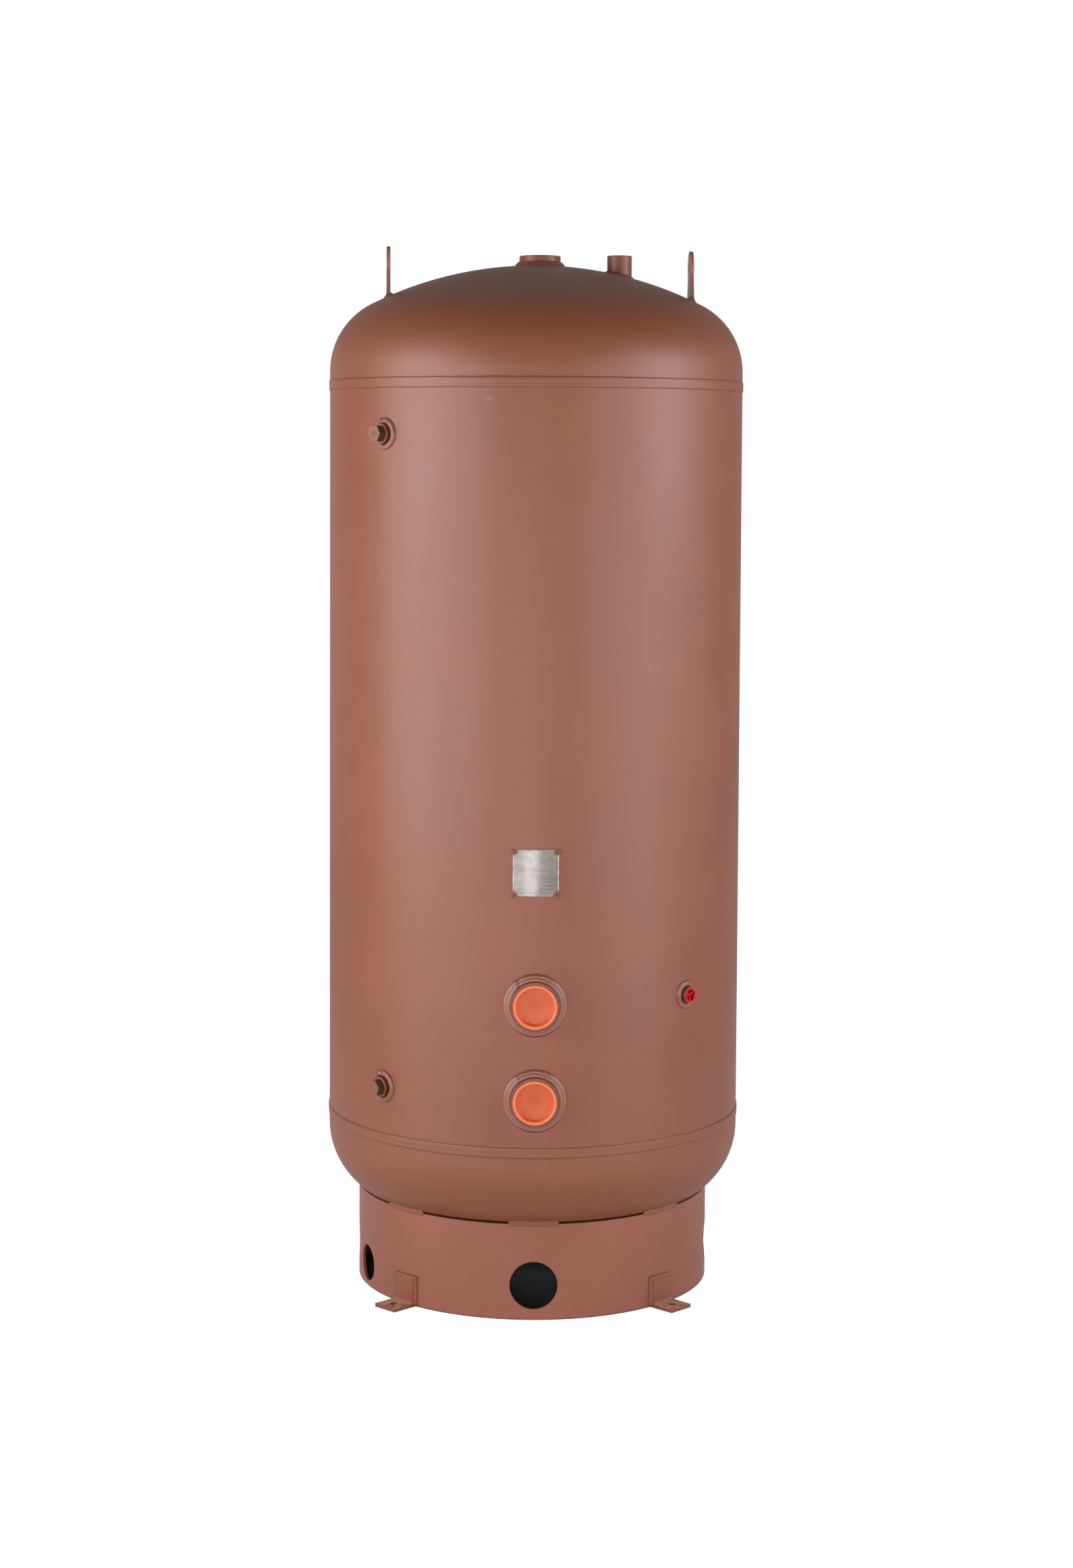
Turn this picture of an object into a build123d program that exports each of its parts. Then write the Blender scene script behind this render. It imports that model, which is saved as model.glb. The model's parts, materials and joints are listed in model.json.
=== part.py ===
from build123d import *
from math import acos, asin, atan2, cos, degrees, hypot, radians, sin, sqrt, tan
import os

# Vertical pressure tank, in millimetres.
# Origin: centre of the base ring at floor level. +Z is up, and -Y is the front, with the capped ports.
# An azimuth is counted in degrees from the front towards +X.

# Shell and heads
tank_od = 762.0
shell_wall = 4.8
shell_length = 1343.0
head_wall = 4.8
head_crown_radius = 676.0
head_knuckle_radius = 137.0
head_skirt = 27.0
girth_weld_width = 19.5
girth_weld_crown = 1.4
girth_weld_shoulder = 1.1
girth_weld_toe = 1.8
long_seam_width = 13.0
long_seam_crown = 1.2
long_seam_azimuth = 180.0

# Base ring
ring_inset = 56.0
ring_wall = 4.8
ring_height = 172.0
pipe_hole_diameter = 85.0
pipe_hole_height = 62.0
pipe_hole_azimuths = (0.0, 86.0, 180.0, -90.0)
small_hole_diameter = 65.0
small_hole_height = 42.0
small_hole_azimuth = -69.0
stitch_count = 8
stitch_length = 90.0
stitch_leg = 4.0

# Anchor clips
clip_leg = 50.8
clip_thickness = 6.35
clip_length = 50.8
clip_heel_radius = 5.0
clip_azimuths = {
    "front_left": -45.0,
    "front_right": 45.0,
    "back_left": -135.0,
    "back_right": 135.0,
}
anchor_hole_diameter = 14.3
anchor_hole_gauge = 29.0
clip_bead_leg = 5.0
clip_bead_root = 4.0
clip_bead_round = 3.6

# Fittings on the top head, which sit a little off the axis and turned
top_shift = 5.7
top_turn = 1.6
lug_thickness = 6.35
lug_base_width = 76.2
lug_top_radius = 30.0
lug_height = 92.0
lug_hole_diameter = 19.0
lug_inset = 101.5
lug_weld_leg = 7.0
lug_weld_sink = 3.0
lug_weld_edge = 0.6
lug_root_depth = 40.0

# Half couplings on the top head
top_centre_od = 76.0
top_centre_bore = 57.0
top_centre_stand = 18.0
top_centre_inside = 20.0
top_centre_weld_leg = 9.0
top_side_od = 45.4
top_side_bore = 30.0
top_side_stand = 37.0
top_side_inside = 0.0
top_side_weld_leg = 5.0
top_side_offset = 147.0

# Drain half coupling under the bottom head
drain_od = 45.4
drain_bore = 30.0
drain_stand = 25.0
drain_inside = 8.0
drain_weld_leg = 5.0

# Two large ports on the front
lower_port_above_seam = 93.15
port_spacing = 168.0
port_od = 87.5
port_bore = 72.4
port_stand = 14.4
port_inside = 25.0
port_weld_shell_leg = 12.4
port_weld_side_leg = 8.0
port_cap_lip_diameter = 76.8
port_cap_lip = 5.6
port_cap_wall = 1.6
port_cap_depth = 18.0
port_cap_floor = 2.0
port_cap_dish = 1.2

# Gauge couplings with hex plugs, left of the front
lower_gauge_above_seam = 93.15
upper_gauge_below_seam = 89.85
gauge_azimuth = -45.0
gauge_od = 37.0
gauge_bore = 26.0
gauge_stand = 10.3
gauge_inside = 18.0
gauge_weld_leg = 11.0
gauge_weld_side_leg = 7.0
plug_across_flats = 28.6
plug_head = 14.8
plug_thread_length = 16.0
plug_dimple_diameter = 11.3
plug_dimple_depth = 1.2
plug_edge = 1.5

# Side coupling with a plastic plug, right of the front
side_above_seam = 260.15
side_azimuth = 45.0
side_od = 30.0
side_bore = 23.4
side_stand = 9.7
side_inside = 16.0
side_weld_leg = 11.0
side_weld_side_leg = 6.0
side_plug_lip_diameter = 25.9
side_plug_lip = 2.4
side_plug_wall = 1.3
side_plug_depth = 14.0
side_plug_floor = 1.5
side_plug_rib = 1.6
side_plug_rib_setback = 4.0

# Nameplate, curved to the shell
plate_width = 80.0
plate_height = 81.0
plate_thickness = 1.2
plate_above_seam = 493.15
plate_notch_radius = 7.5
tack_radius = 3.4

# Fits and edges
plug_clearance = 0.2
plate_gap = 0.3
coupling_edge = 1.5
thread_lead_in = 1.2

# Worked out from the sizes above
tank_r = tank_od / 2
shell_ir = tank_r - shell_wall
ring_r = tank_r - ring_inset
ring_ir = ring_r - ring_wall
lug_offset = tank_r - lug_inset
knuckle_centre_r = tank_r - head_knuckle_radius
crown_drop = sqrt((head_crown_radius - head_knuckle_radius) ** 2 - knuckle_centre_r**2)
head_depth = head_crown_radius - crown_drop
knuckle_angle = atan2(crown_drop, knuckle_centre_r)


def head_height(radius):
    """Height of a head's outer surface above its tangent line, at a distance from its axis."""
    if radius <= head_crown_radius * cos(knuckle_angle):
        return sqrt(head_crown_radius**2 - radius**2) - crown_drop
    return sqrt(head_knuckle_radius**2 - (radius - knuckle_centre_r) ** 2)


# Levels, from the floor up
bottom_tangent = ring_height + head_height(ring_ir)
bottom_apex = bottom_tangent - head_depth
bottom_seam = bottom_tangent + head_skirt
top_seam = bottom_seam + shell_length
top_tangent = top_seam + head_skirt
apex = top_tangent + head_depth
port_heights = {
    "upper": bottom_seam + lower_port_above_seam + port_spacing,
    "lower": bottom_seam + lower_port_above_seam,
}
gauge_heights = {
    "upper": top_seam - upper_gauge_below_seam,
    "lower": bottom_seam + lower_gauge_above_seam,
}
side_height = bottom_seam + side_above_seam
plate_centre_height = bottom_seam + plate_above_seam


def dome_section(inset):
    """Half section of a head, from its axis to its skirt, at a depth inside the outer surface."""
    knuckle = head_knuckle_radius - inset
    crown = head_crown_radius - inset
    edge_r = knuckle_centre_r + knuckle
    joint = (crown * cos(knuckle_angle), crown * sin(knuckle_angle) - crown_drop)
    knuckle_middle = (
        knuckle_centre_r + knuckle * cos(knuckle_angle / 2),
        knuckle * sin(knuckle_angle / 2),
    )
    crown_middle_angle = (knuckle_angle + radians(90)) / 2
    crown_middle = (
        crown * cos(crown_middle_angle),
        crown * sin(crown_middle_angle) - crown_drop,
    )
    top = (0, crown - crown_drop)
    lines = [
        Line((0, -head_skirt), (edge_r, -head_skirt)),
        Line((edge_r, -head_skirt), (edge_r, 0)),
        ThreePointArc((edge_r, 0), knuckle_middle, joint),
        ThreePointArc(joint, crown_middle, top),
        Line(top, (0, -head_skirt)),
    ]
    return make_face(Plane.XZ * (Curve() + lines))


def dome(inset):
    """Solid dome with its tangent line at height 0."""
    return revolve(dome_section(inset), Axis.Z)


def upright_cylinder(radius, low, high):
    return Pos(0, 0, low) * extrude(Circle(radius), high - low)


def radial_frame(azimuth, height):
    """Frame on the tank's axis whose +Z points outwards at an azimuth."""
    a = radians(azimuth)
    return Plane(
        origin=(0, 0, height), x_dir=(cos(a), sin(a), 0), z_dir=(sin(a), -cos(a), 0)
    ).location


def top_place(offset):
    """Place of a fitting on the top head, on the line through both lugs."""
    a = radians(top_turn)
    return Pos(top_shift, 0, 0) * Rot(0, 0, top_turn) * Pos(offset, 0, 0), (
        top_shift + offset * cos(a),
        offset * sin(a),
    )


def turned(points, angle=360.0):
    """Solid of revolution about Z from a closed outline of (radius, height) points."""
    outline = Polyline(*[(r, z) for r, z in points], close=True)
    return revolve(make_face(Plane.XZ * outline), Axis.Z, angle)


def half_coupling(od, bore, low, high):
    """Tapped steel coupling, with a rounded outer edge and a lead-in at its mouth."""
    body = turned(
        [
            (bore / 2, low),
            (od / 2, low),
            (od / 2, high),
            (bore / 2 + thread_lead_in, high),
            (bore / 2, high - thread_lead_in),
        ]
    )
    rim = body.edges().filter_by(GeomType.CIRCLE).filter_by(
        lambda e: abs(e.radius - od / 2) < 0.01 and e.center().Z > high - 0.01
    )
    return fillet(rim, coupling_edge)


def fillet_weld(wall, post, wall_leg, post_leg):
    """Weld bead in the corner between a curved wall and the post that stands out of it."""
    joined = wall + post
    wall_faces = [f for f in wall.faces()]
    corner = [
        e
        for e in joined.edges()
        if on_surface(e, wall_faces) and on_surface(e, post.faces())
    ]
    face = corner_face(joined, corner[0], post)
    beaded = chamfer(corner, post_leg, wall_leg, reference=face)
    return beaded - wall - post


def on_surface(edge, faces):
    middle = edge @ 0.37
    return any(f.distance_to(middle) < 0.005 for f in faces)


def corner_face(joined, edge, post):
    """The post's own face beside a corner edge."""
    middle = edge @ 0.37
    near = [f for f in joined.faces() if f.distance_to(middle) < 0.005]
    return min(near, key=lambda f: min(abs(f.area - g.area) for g in post.faces()))


def shell_band(height, margin):
    """Solid slice of the tank's outer cylinder round a fitting."""
    return upright_cylinder(tank_r, height - margin, height + margin)


def radial_weld(azimuth, height, od, wall_leg, post_leg):
    """Bead round a coupling that stands out of the shell."""
    post = Pos(0, 0, tank_r / 2) * extrude(Circle(od / 2), tank_r)
    band = shell_band(height, od + wall_leg)
    frame = radial_frame(azimuth, height)
    return fillet_weld(band, frame * post, wall_leg, post_leg)


def make_shell():
    tube = upright_cylinder(tank_r, bottom_seam, top_seam)
    tube -= upright_cylinder(shell_ir, bottom_seam, top_seam)
    for azimuth, height, od in shell_openings():
        tube -= radial_frame(azimuth, height) * extrude(Circle(od / 2), tank_od)
    return tube


def shell_openings():
    """Azimuth, height and diameter of each hole that a coupling fills."""
    holes = [(0.0, h, port_od) for h in port_heights.values()]
    holes += [(gauge_azimuth, h, gauge_od) for h in gauge_heights.values()]
    holes.append((side_azimuth, side_height, side_od))
    return holes


def make_top_head():
    head = Pos(0, 0, top_tangent) * (dome(0) - dome(head_wall))
    for offset, od in ((0.0, top_centre_od), (top_side_offset, top_side_od)):
        place, _ = top_place(offset)
        head -= place * upright_cylinder(od / 2, top_seam, apex + head_depth)
    return head


def make_bottom_head():
    head = Pos(0, 0, bottom_tangent) * Rot(180, 0, 0) * (dome(0) - dome(head_wall))
    return head - upright_cylinder(drain_od / 2, 0, bottom_seam)


def girth_weld(height):
    """Low band of weld round a seam, with steep toes and a slightly crowned top."""
    half = girth_weld_width / 2
    shoulder = half - girth_weld_toe
    outline = [
        (tank_r, height - half),
        (tank_r + girth_weld_shoulder, height - shoulder),
        (tank_r + girth_weld_crown, height),
        (tank_r + girth_weld_shoulder, height + shoulder),
        (tank_r, height + half),
    ]
    return turned(outline)


def make_long_seam():
    """Weld that closes the rolled shell, between the two girth welds."""
    half_angle = asin(long_seam_width / 2 / tank_r)
    side = (tank_r * sin(half_angle), tank_r * cos(half_angle))
    mirrored = (-side[0], side[1])
    outer = ThreePointArc(mirrored, (0, tank_r + long_seam_crown), side)
    inner = ThreePointArc(side, (0, tank_r), mirrored)
    low = bottom_seam + girth_weld_width / 2
    high = top_seam - girth_weld_width / 2
    bead = extrude(make_face(Curve() + [outer, inner]), high - low)
    return Rot(0, 0, long_seam_azimuth - 180) * Pos(0, 0, low) * bead


def ring_openings():
    """Azimuth, height and diameter of each hole through the base ring."""
    holes = [(a, pipe_hole_height, pipe_hole_diameter) for a in pipe_hole_azimuths]
    holes.append((small_hole_azimuth, small_hole_height, small_hole_diameter))
    return holes


def make_ring():
    ring = upright_cylinder(ring_r, 0, ring_height)
    ring -= upright_cylinder(ring_ir, 0, ring_height)
    for azimuth, height, diameter in ring_openings():
        ring -= radial_frame(azimuth, height) * extrude(Circle(diameter / 2), tank_r)
    return ring


def make_stitches():
    """Short beads that tie the ring's top edge to the bottom head."""
    head = Pos(0, 0, bottom_tangent) * Rot(180, 0, 0) * dome(0)
    ring = upright_cylinder(ring_r, 0, ring_height)
    head_z = bottom_tangent - head_height(ring_r)
    outline = [
        (ring_r - stitch_leg / 2, ring_height),
        (ring_r, ring_height - stitch_leg),
        (ring_r + stitch_leg / 2, ring_height - stitch_leg / 2),
        (ring_r + stitch_leg, head_z + stitch_leg / 2),
        (ring_r + stitch_leg, head_z + 2 * stitch_leg),
        (ring_r - stitch_leg / 2, head_z + stitch_leg),
    ]
    angle = degrees(stitch_length / ring_r)
    bead = turned(outline, angle) - head - ring
    start = -90 - angle / 2
    return [
        Rot(0, 0, start + k * 360 / stitch_count) * bead for k in range(stitch_count)
    ]


def clip_frame(azimuth):
    """Frame at the ring's foot: x along the ring, y outwards, z up."""
    a = radians(azimuth)
    return Plane(
        origin=(ring_r * sin(a), -ring_r * cos(a), 0),
        x_dir=(-cos(a), -sin(a), 0),
        z_dir=(0, 0, 1),
    ).location


def make_clip(azimuth):
    """Angle section with one leg on the ring and one on the floor, drilled for an anchor bolt."""
    section = Polyline(
        (0, 0),
        (clip_leg, 0),
        (clip_leg, clip_thickness),
        (clip_thickness, clip_thickness),
        (clip_thickness, clip_leg),
        (0, clip_leg),
        close=True,
    )
    angle = extrude(make_face(Plane.YZ * section), clip_length / 2, both=True)
    heel = [
        e
        for e in angle.edges().filter_by(Axis.X)
        if abs(e.center().Y - clip_thickness) < 0.01
        and abs(e.center().Z - clip_thickness) < 0.01
    ]
    angle = fillet(heel, clip_heel_radius)
    hole = Pos(0, anchor_hole_gauge, 0) * extrude(
        Circle(anchor_hole_diameter / 2), clip_thickness
    )
    return clip_frame(azimuth) * (angle - hole)


def make_clip_bead(azimuth, clip):
    """Bead over the top of a clip's leg and down the side nearer the middle of the tank."""
    side = 1 if (azimuth > 0) == (abs(azimuth) < 90) else -1
    width = clip_length
    depth = clip_bead_leg + clip_bead_root
    block = Pos(side * clip_bead_leg, clip_bead_leg - depth / 2, 0) * extrude(
        Rectangle(width, depth), clip_leg + clip_bead_leg
    )
    face = block.faces().sort_by(Axis.Y)[-1]
    edges = [e for e in face.edges() if e.center().Z > 0.01]
    top = block.faces().sort_by(Axis.Z)[-1]
    edges += list(top.edges().filter_by(Axis.Y))
    bead = clip_frame(azimuth) * fillet(edges, clip_bead_round)
    return bead - upright_cylinder(ring_r, 0, ring_height) - clip


def lug_outline():
    """Rounded top on sides that spread to the base, with its foot below the head's surface."""
    centre_z = lug_height - lug_top_radius
    half_base = lug_base_width / 2
    reach = hypot(half_base, centre_z)
    lean = atan2(half_base, centre_z)
    tangent_angle = acos(lug_top_radius / reach) - lean
    tangent = (
        lug_top_radius * cos(tangent_angle),
        centre_z - lug_top_radius * sin(tangent_angle),
    )
    foot = -lug_root_depth
    lines = [
        Line((-half_base, foot), (half_base, foot)),
        Line((half_base, foot), (half_base, 0)),
        Line((half_base, 0), tangent),
        ThreePointArc(tangent, (0, lug_height), (-tangent[0], tangent[1])),
        Line((-tangent[0], tangent[1]), (-half_base, 0)),
        Line((-half_base, 0), (-half_base, foot)),
    ]
    return make_face(Plane.YZ * (Curve() + lines))


def make_lug(side):
    """Lifting lug and the fillet weld round its foot."""
    place, (x, y) = top_place(side * lug_offset)
    radius = hypot(x, y)
    base_z = top_tangent + head_height(radius)
    blank = extrude(lug_outline(), lug_thickness / 2, both=True)
    blank = place * Pos(0, 0, base_z) * blank
    head = Pos(0, 0, top_tangent) * dome(0)
    slope = side * asin(radius / head_crown_radius)
    weld = place * Pos(0, 0, base_z) * lug_bead(slope) - [head, blank]
    hole = Rot(0, 90, 0) * extrude(
        Circle(lug_hole_diameter / 2), lug_thickness, both=True
    )
    hole = place * Pos(0, 0, base_z + lug_height - lug_top_radius) * hole
    return blank - head - hole, weld


def lug_bead(slope):
    """Tapered collar of weld square to the head's slope, closing on the lug at its top."""
    thickness = lug_thickness / cos(slope)
    toe = 2 * (lug_weld_leg + lug_weld_sink)
    low = RectangleRounded(thickness + toe, lug_base_width + toe, lug_weld_leg)
    high = RectangleRounded(
        thickness + lug_weld_edge, lug_base_width + lug_weld_edge, lug_weld_edge
    )
    collar = loft(
        [
            Pos(0, 0, -lug_weld_sink) * low,
            Pos(-lug_weld_leg * tan(slope), 0, lug_weld_leg) * high,
        ]
    )
    return Rot(0, degrees(slope), 0) * collar


def make_top_fitting(offset, od, bore, stand, inside, leg):
    """Half coupling through the top head, and its weld."""
    place, (x, y) = top_place(offset)
    surface = top_tangent + head_height(hypot(x, y))
    low = surface - head_wall - inside
    coupling = place * half_coupling(od, bore, low, surface + stand)
    head = Pos(0, 0, top_tangent) * dome(0)
    post = place * upright_cylinder(od / 2, top_tangent, apex + head_depth)
    return coupling, fillet_weld(head, post, leg, leg)


def make_drain():
    """Half coupling through the middle of the bottom head, and its weld."""
    low = bottom_apex - drain_stand
    high = bottom_apex + head_wall + drain_inside
    coupling = half_coupling(drain_od, drain_bore, -high, -low)
    coupling = Rot(180, 0, 0) * coupling
    head = Pos(0, 0, bottom_tangent) * Rot(180, 0, 0) * dome(0)
    post = upright_cylinder(drain_od / 2, low - drain_stand, bottom_tangent)
    return coupling, fillet_weld(head, post, drain_weld_leg, drain_weld_leg)


def plastic_cup(lip_diameter, bore, lip, wall, depth, floor, dish, face):
    """Push-in protector: a lip on the coupling's face and a recessed cup in its bore."""
    outer = bore / 2 - plug_clearance
    inner = outer - wall
    rim = face + lip
    lip_r = lip_diameter / 2
    outline = [
        (0, rim - depth - floor),
        (outer, rim - depth - floor),
        (outer, face),
        (lip_r, face),
        (lip_r, rim),
        (inner + wall / 2, rim),
        (inner, rim - lip),
        (inner, rim - depth),
        (0, rim - depth - dish),
    ]
    cup = turned(outline)
    lip_edges = cup.edges().filter_by(GeomType.CIRCLE).filter_by(
        lambda e: abs(e.radius - lip_r) < 0.01
    )
    return fillet(lip_edges, lip / 5)


def make_port(height):
    """One large port: coupling, weld and cap."""
    frame = radial_frame(0.0, height)
    face = tank_r + port_stand
    coupling = half_coupling(port_od, port_bore, shell_ir - port_inside, face)
    weld = radial_weld(
        0.0, height, port_od, port_weld_shell_leg, port_weld_side_leg
    )
    cap = plastic_cup(
        port_cap_lip_diameter,
        port_bore,
        port_cap_lip,
        port_cap_wall,
        port_cap_depth,
        port_cap_floor,
        port_cap_dish,
        face,
    )
    return frame * coupling, weld, frame * cap


def hex_plug(face):
    """Solid pipe plug: threaded end in the coupling, hex head on its face, pit in the middle."""
    head = extrude(RegularPolygon(plug_across_flats / 2, 6, major_radius=False), plug_head)
    flat_r = plug_across_flats / 2
    corner_r = flat_r / cos(radians(30))
    trim = turned(
        [
            (0, 0),
            (corner_r, 0),
            (corner_r, plug_head - plug_edge),
            (flat_r, plug_head),
            (0, plug_head),
        ]
    )
    pit = turned(
        [
            (0, plug_head - plug_dimple_depth),
            (plug_dimple_diameter / 4, plug_head - plug_dimple_depth),
            (plug_dimple_diameter / 2, plug_head),
            (0, plug_head),
        ]
    )
    thread_r = gauge_bore / 2 - plug_clearance
    thread = upright_cylinder(thread_r, -plug_thread_length, 0)
    return Pos(0, 0, face) * ((head & trim) + thread - pit)


def make_gauge_fitting(height):
    """One gauge coupling: coupling, weld and hex plug."""
    frame = radial_frame(gauge_azimuth, height)
    face = tank_r + gauge_stand
    coupling = half_coupling(gauge_od, gauge_bore, shell_ir - gauge_inside, face)
    weld = radial_weld(
        gauge_azimuth, height, gauge_od, gauge_weld_leg, gauge_weld_side_leg
    )
    return frame * coupling, weld, frame * hex_plug(face)


def make_side_fitting():
    """Side coupling, its weld and its plastic plug with three grip ribs."""
    frame = radial_frame(side_azimuth, side_height)
    face = tank_r + side_stand
    coupling = half_coupling(side_od, side_bore, shell_ir - side_inside, face)
    weld = radial_weld(
        side_azimuth, side_height, side_od, side_weld_leg, side_weld_side_leg
    )
    cup = plastic_cup(
        side_plug_lip_diameter,
        side_bore,
        side_plug_lip,
        side_plug_wall,
        side_plug_depth,
        side_plug_floor,
        0.0,
        face,
    )
    rim = face + side_plug_lip
    rib_low = rim - side_plug_depth
    rib_high = rim - side_plug_rib_setback
    rib_reach = side_bore / 2 - plug_clearance - side_plug_wall / 2
    rib = Pos(rib_reach / 2, 0, rib_low) * extrude(
        Rectangle(rib_reach, side_plug_rib), rib_high - rib_low
    )
    for k in range(3):
        cup += Rot(0, 0, 180 + k * 120) * rib
    return frame * coupling, weld, frame * cup


def make_nameplate():
    """Thin plate curved to the shell, with a hollow bitten out of each corner."""
    blank = Rectangle(plate_width, plate_height)
    corners = plate_corners()
    for x, z in corners:
        blank -= Pos(x, z) * Circle(plate_notch_radius)
    block = Pos(0, 0, plate_centre_height) * Rot(90, 0, 0) * extrude(blank, tank_od)
    low = plate_centre_height - plate_height
    high = plate_centre_height + plate_height
    inner_r = tank_r + plate_gap
    sheet = upright_cylinder(inner_r + plate_thickness, low, high)
    return (sheet & block) - upright_cylinder(inner_r, low, high)


def plate_corners():
    return [
        (sx * plate_width / 2, sz * plate_height / 2)
        for sx in (-1, 1)
        for sz in (-1, 1)
    ]


def make_tacks():
    """Blob of weld at each corner of the nameplate."""
    blobs = []
    for x, z in plate_corners():
        y = -sqrt(tank_r**2 - x**2)
        height = plate_centre_height + z
        blob = Pos(x, y, height) * Sphere(tack_radius)
        blobs.append(blob - shell_band(height, 2 * tack_radius))
    return blobs


def build_tank():
    """Every piece of the tank by its node name."""
    pieces = {
        "shell": make_shell(),
        "top_head": make_top_head(),
        "bottom_head": make_bottom_head(),
        "top_girth_weld": girth_weld(top_seam),
        "bottom_girth_weld": girth_weld(bottom_seam),
        "long_seam_weld": make_long_seam(),
        "base_ring": make_ring(),
        "ring_stitch_welds": make_stitches(),
        "nameplate": make_nameplate(),
        "nameplate_tacks": make_tacks(),
    }
    for corner, azimuth in clip_azimuths.items():
        clip = make_clip(azimuth)
        pieces[f"anchor_clip_{corner}"] = clip
        pieces[f"anchor_clip_weld_{corner}"] = make_clip_bead(azimuth, clip)
    for name, side in (("left", -1), ("right", 1)):
        lug, weld = make_lug(side)
        pieces[f"lifting_lug_{name}"] = lug
        pieces[f"lifting_lug_weld_{name}"] = weld
    centre = make_top_fitting(
        0.0,
        top_centre_od,
        top_centre_bore,
        top_centre_stand,
        top_centre_inside,
        top_centre_weld_leg,
    )
    side = make_top_fitting(
        top_side_offset,
        top_side_od,
        top_side_bore,
        top_side_stand,
        top_side_inside,
        top_side_weld_leg,
    )
    pieces["top_centre_coupling"], pieces["top_centre_weld"] = centre
    pieces["top_side_coupling"], pieces["top_side_weld"] = side
    pieces["drain_coupling"], pieces["drain_weld"] = make_drain()
    for name, height in port_heights.items():
        coupling, weld, cap = make_port(height)
        pieces[f"{name}_port_coupling"] = coupling
        pieces[f"{name}_port_weld"] = weld
        pieces[f"{name}_port_cap"] = cap
    for name, height in gauge_heights.items():
        coupling, weld, plug = make_gauge_fitting(height)
        pieces[f"{name}_gauge_coupling"] = coupling
        pieces[f"{name}_gauge_weld"] = weld
        pieces[f"{name}_gauge_plug"] = plug
    coupling, weld, plug = make_side_fitting()
    pieces["side_coupling"] = coupling
    pieces["side_coupling_weld"] = weld
    pieces["side_plug"] = plug
    return pieces


def as_shape(piece):
    """One shape for a node, also where it has several separate solids."""
    if isinstance(piece, list):
        return Compound(children=[s for p in piece for s in p.solids()])
    solids = piece.solids()
    return solids[0] if len(solids) == 1 else Compound(children=list(solids))


os.makedirs("parts", exist_ok=True)
for node, piece in build_tank().items():
    shape = as_shape(piece)
    shape.label = node
    export_step(shape, f"parts/{node}.step")
    print(f"{node:32s} {len(shape.solids())} solids  {shape.volume / 1000:10.1f} cm3")
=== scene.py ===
import json
import math

import bpy
from mathutils import Matrix, Vector

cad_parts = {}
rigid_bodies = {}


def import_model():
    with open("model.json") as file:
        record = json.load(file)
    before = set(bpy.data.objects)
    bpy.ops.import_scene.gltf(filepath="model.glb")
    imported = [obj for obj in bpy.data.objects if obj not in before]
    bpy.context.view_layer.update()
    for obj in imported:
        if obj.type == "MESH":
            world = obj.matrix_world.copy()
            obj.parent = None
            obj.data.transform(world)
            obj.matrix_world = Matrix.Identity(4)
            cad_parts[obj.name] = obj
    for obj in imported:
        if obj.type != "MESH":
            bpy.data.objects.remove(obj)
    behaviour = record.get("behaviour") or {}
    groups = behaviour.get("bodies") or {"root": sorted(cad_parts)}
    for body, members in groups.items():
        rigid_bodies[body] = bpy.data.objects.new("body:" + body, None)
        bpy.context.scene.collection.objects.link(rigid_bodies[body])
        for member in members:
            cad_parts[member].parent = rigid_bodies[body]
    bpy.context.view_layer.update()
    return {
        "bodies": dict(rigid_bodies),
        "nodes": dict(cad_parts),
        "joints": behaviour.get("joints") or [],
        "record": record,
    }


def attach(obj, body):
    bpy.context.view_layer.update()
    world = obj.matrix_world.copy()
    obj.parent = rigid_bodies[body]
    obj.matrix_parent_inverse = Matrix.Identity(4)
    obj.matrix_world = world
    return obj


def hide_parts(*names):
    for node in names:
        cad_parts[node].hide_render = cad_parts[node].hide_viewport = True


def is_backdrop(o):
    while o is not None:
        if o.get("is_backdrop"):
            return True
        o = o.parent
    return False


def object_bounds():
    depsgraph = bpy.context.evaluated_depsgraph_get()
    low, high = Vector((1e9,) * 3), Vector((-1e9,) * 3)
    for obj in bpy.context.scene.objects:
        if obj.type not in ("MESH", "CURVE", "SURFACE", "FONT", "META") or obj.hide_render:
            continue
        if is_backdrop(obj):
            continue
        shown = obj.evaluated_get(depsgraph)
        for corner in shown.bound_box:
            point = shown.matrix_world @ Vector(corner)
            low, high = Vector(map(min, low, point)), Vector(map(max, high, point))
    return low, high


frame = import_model()
nodes = frame["nodes"]


# SHELL
# Rolled steel tube in red oxide primer. The spray leaves a fine orange peel and broad, faint clouds,
# and handling has left a rubbed patch, a round stain and the ghost of a label.
tank_r = 0.381
bottom_seam = 0.312853
top_seam = 1.655853
oxide_thick = (0.268, 0.079, 0.0450, 1)
oxide_thin = (0.302, 0.091, 0.0525, 1)
oxide_grain = (0.250, 0.066, 0.034, 1)


def feed(tree, node, values):
    """Set a node's inputs. A value is a number or colour, or the socket that feeds the input."""
    for key, value in values.items():
        if isinstance(value, bpy.types.NodeSocket):
            tree.links.new(value, node.inputs[key])
        else:
            node.inputs[key].default_value = value


def add_node(tree, kind, values=None, **settings):
    """New node of a tree, with its settings and inputs."""
    made = tree.nodes.new(kind)
    for name, value in settings.items():
        setattr(made, name, value)
    feed(tree, made, values or {})
    return made


def calc(tree, operation, *values):
    """Result of one math node."""
    return add_node(tree, "ShaderNodeMath", dict(enumerate(values)), operation=operation).outputs[0]


def vector_calc(tree, operation, *values):
    """Result of one vector math node, which is a number for a length, a distance or a dot product."""
    made = add_node(tree, "ShaderNodeVectorMath", dict(enumerate(values)), operation=operation)
    return made.outputs["Value" if operation in ("LENGTH", "DISTANCE", "DOT_PRODUCT") else "Vector"]


def height_of(tree, vector):
    """Z of a vector."""
    return add_node(tree, "ShaderNodeSeparateXYZ", {0: vector}).outputs[2]


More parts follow.
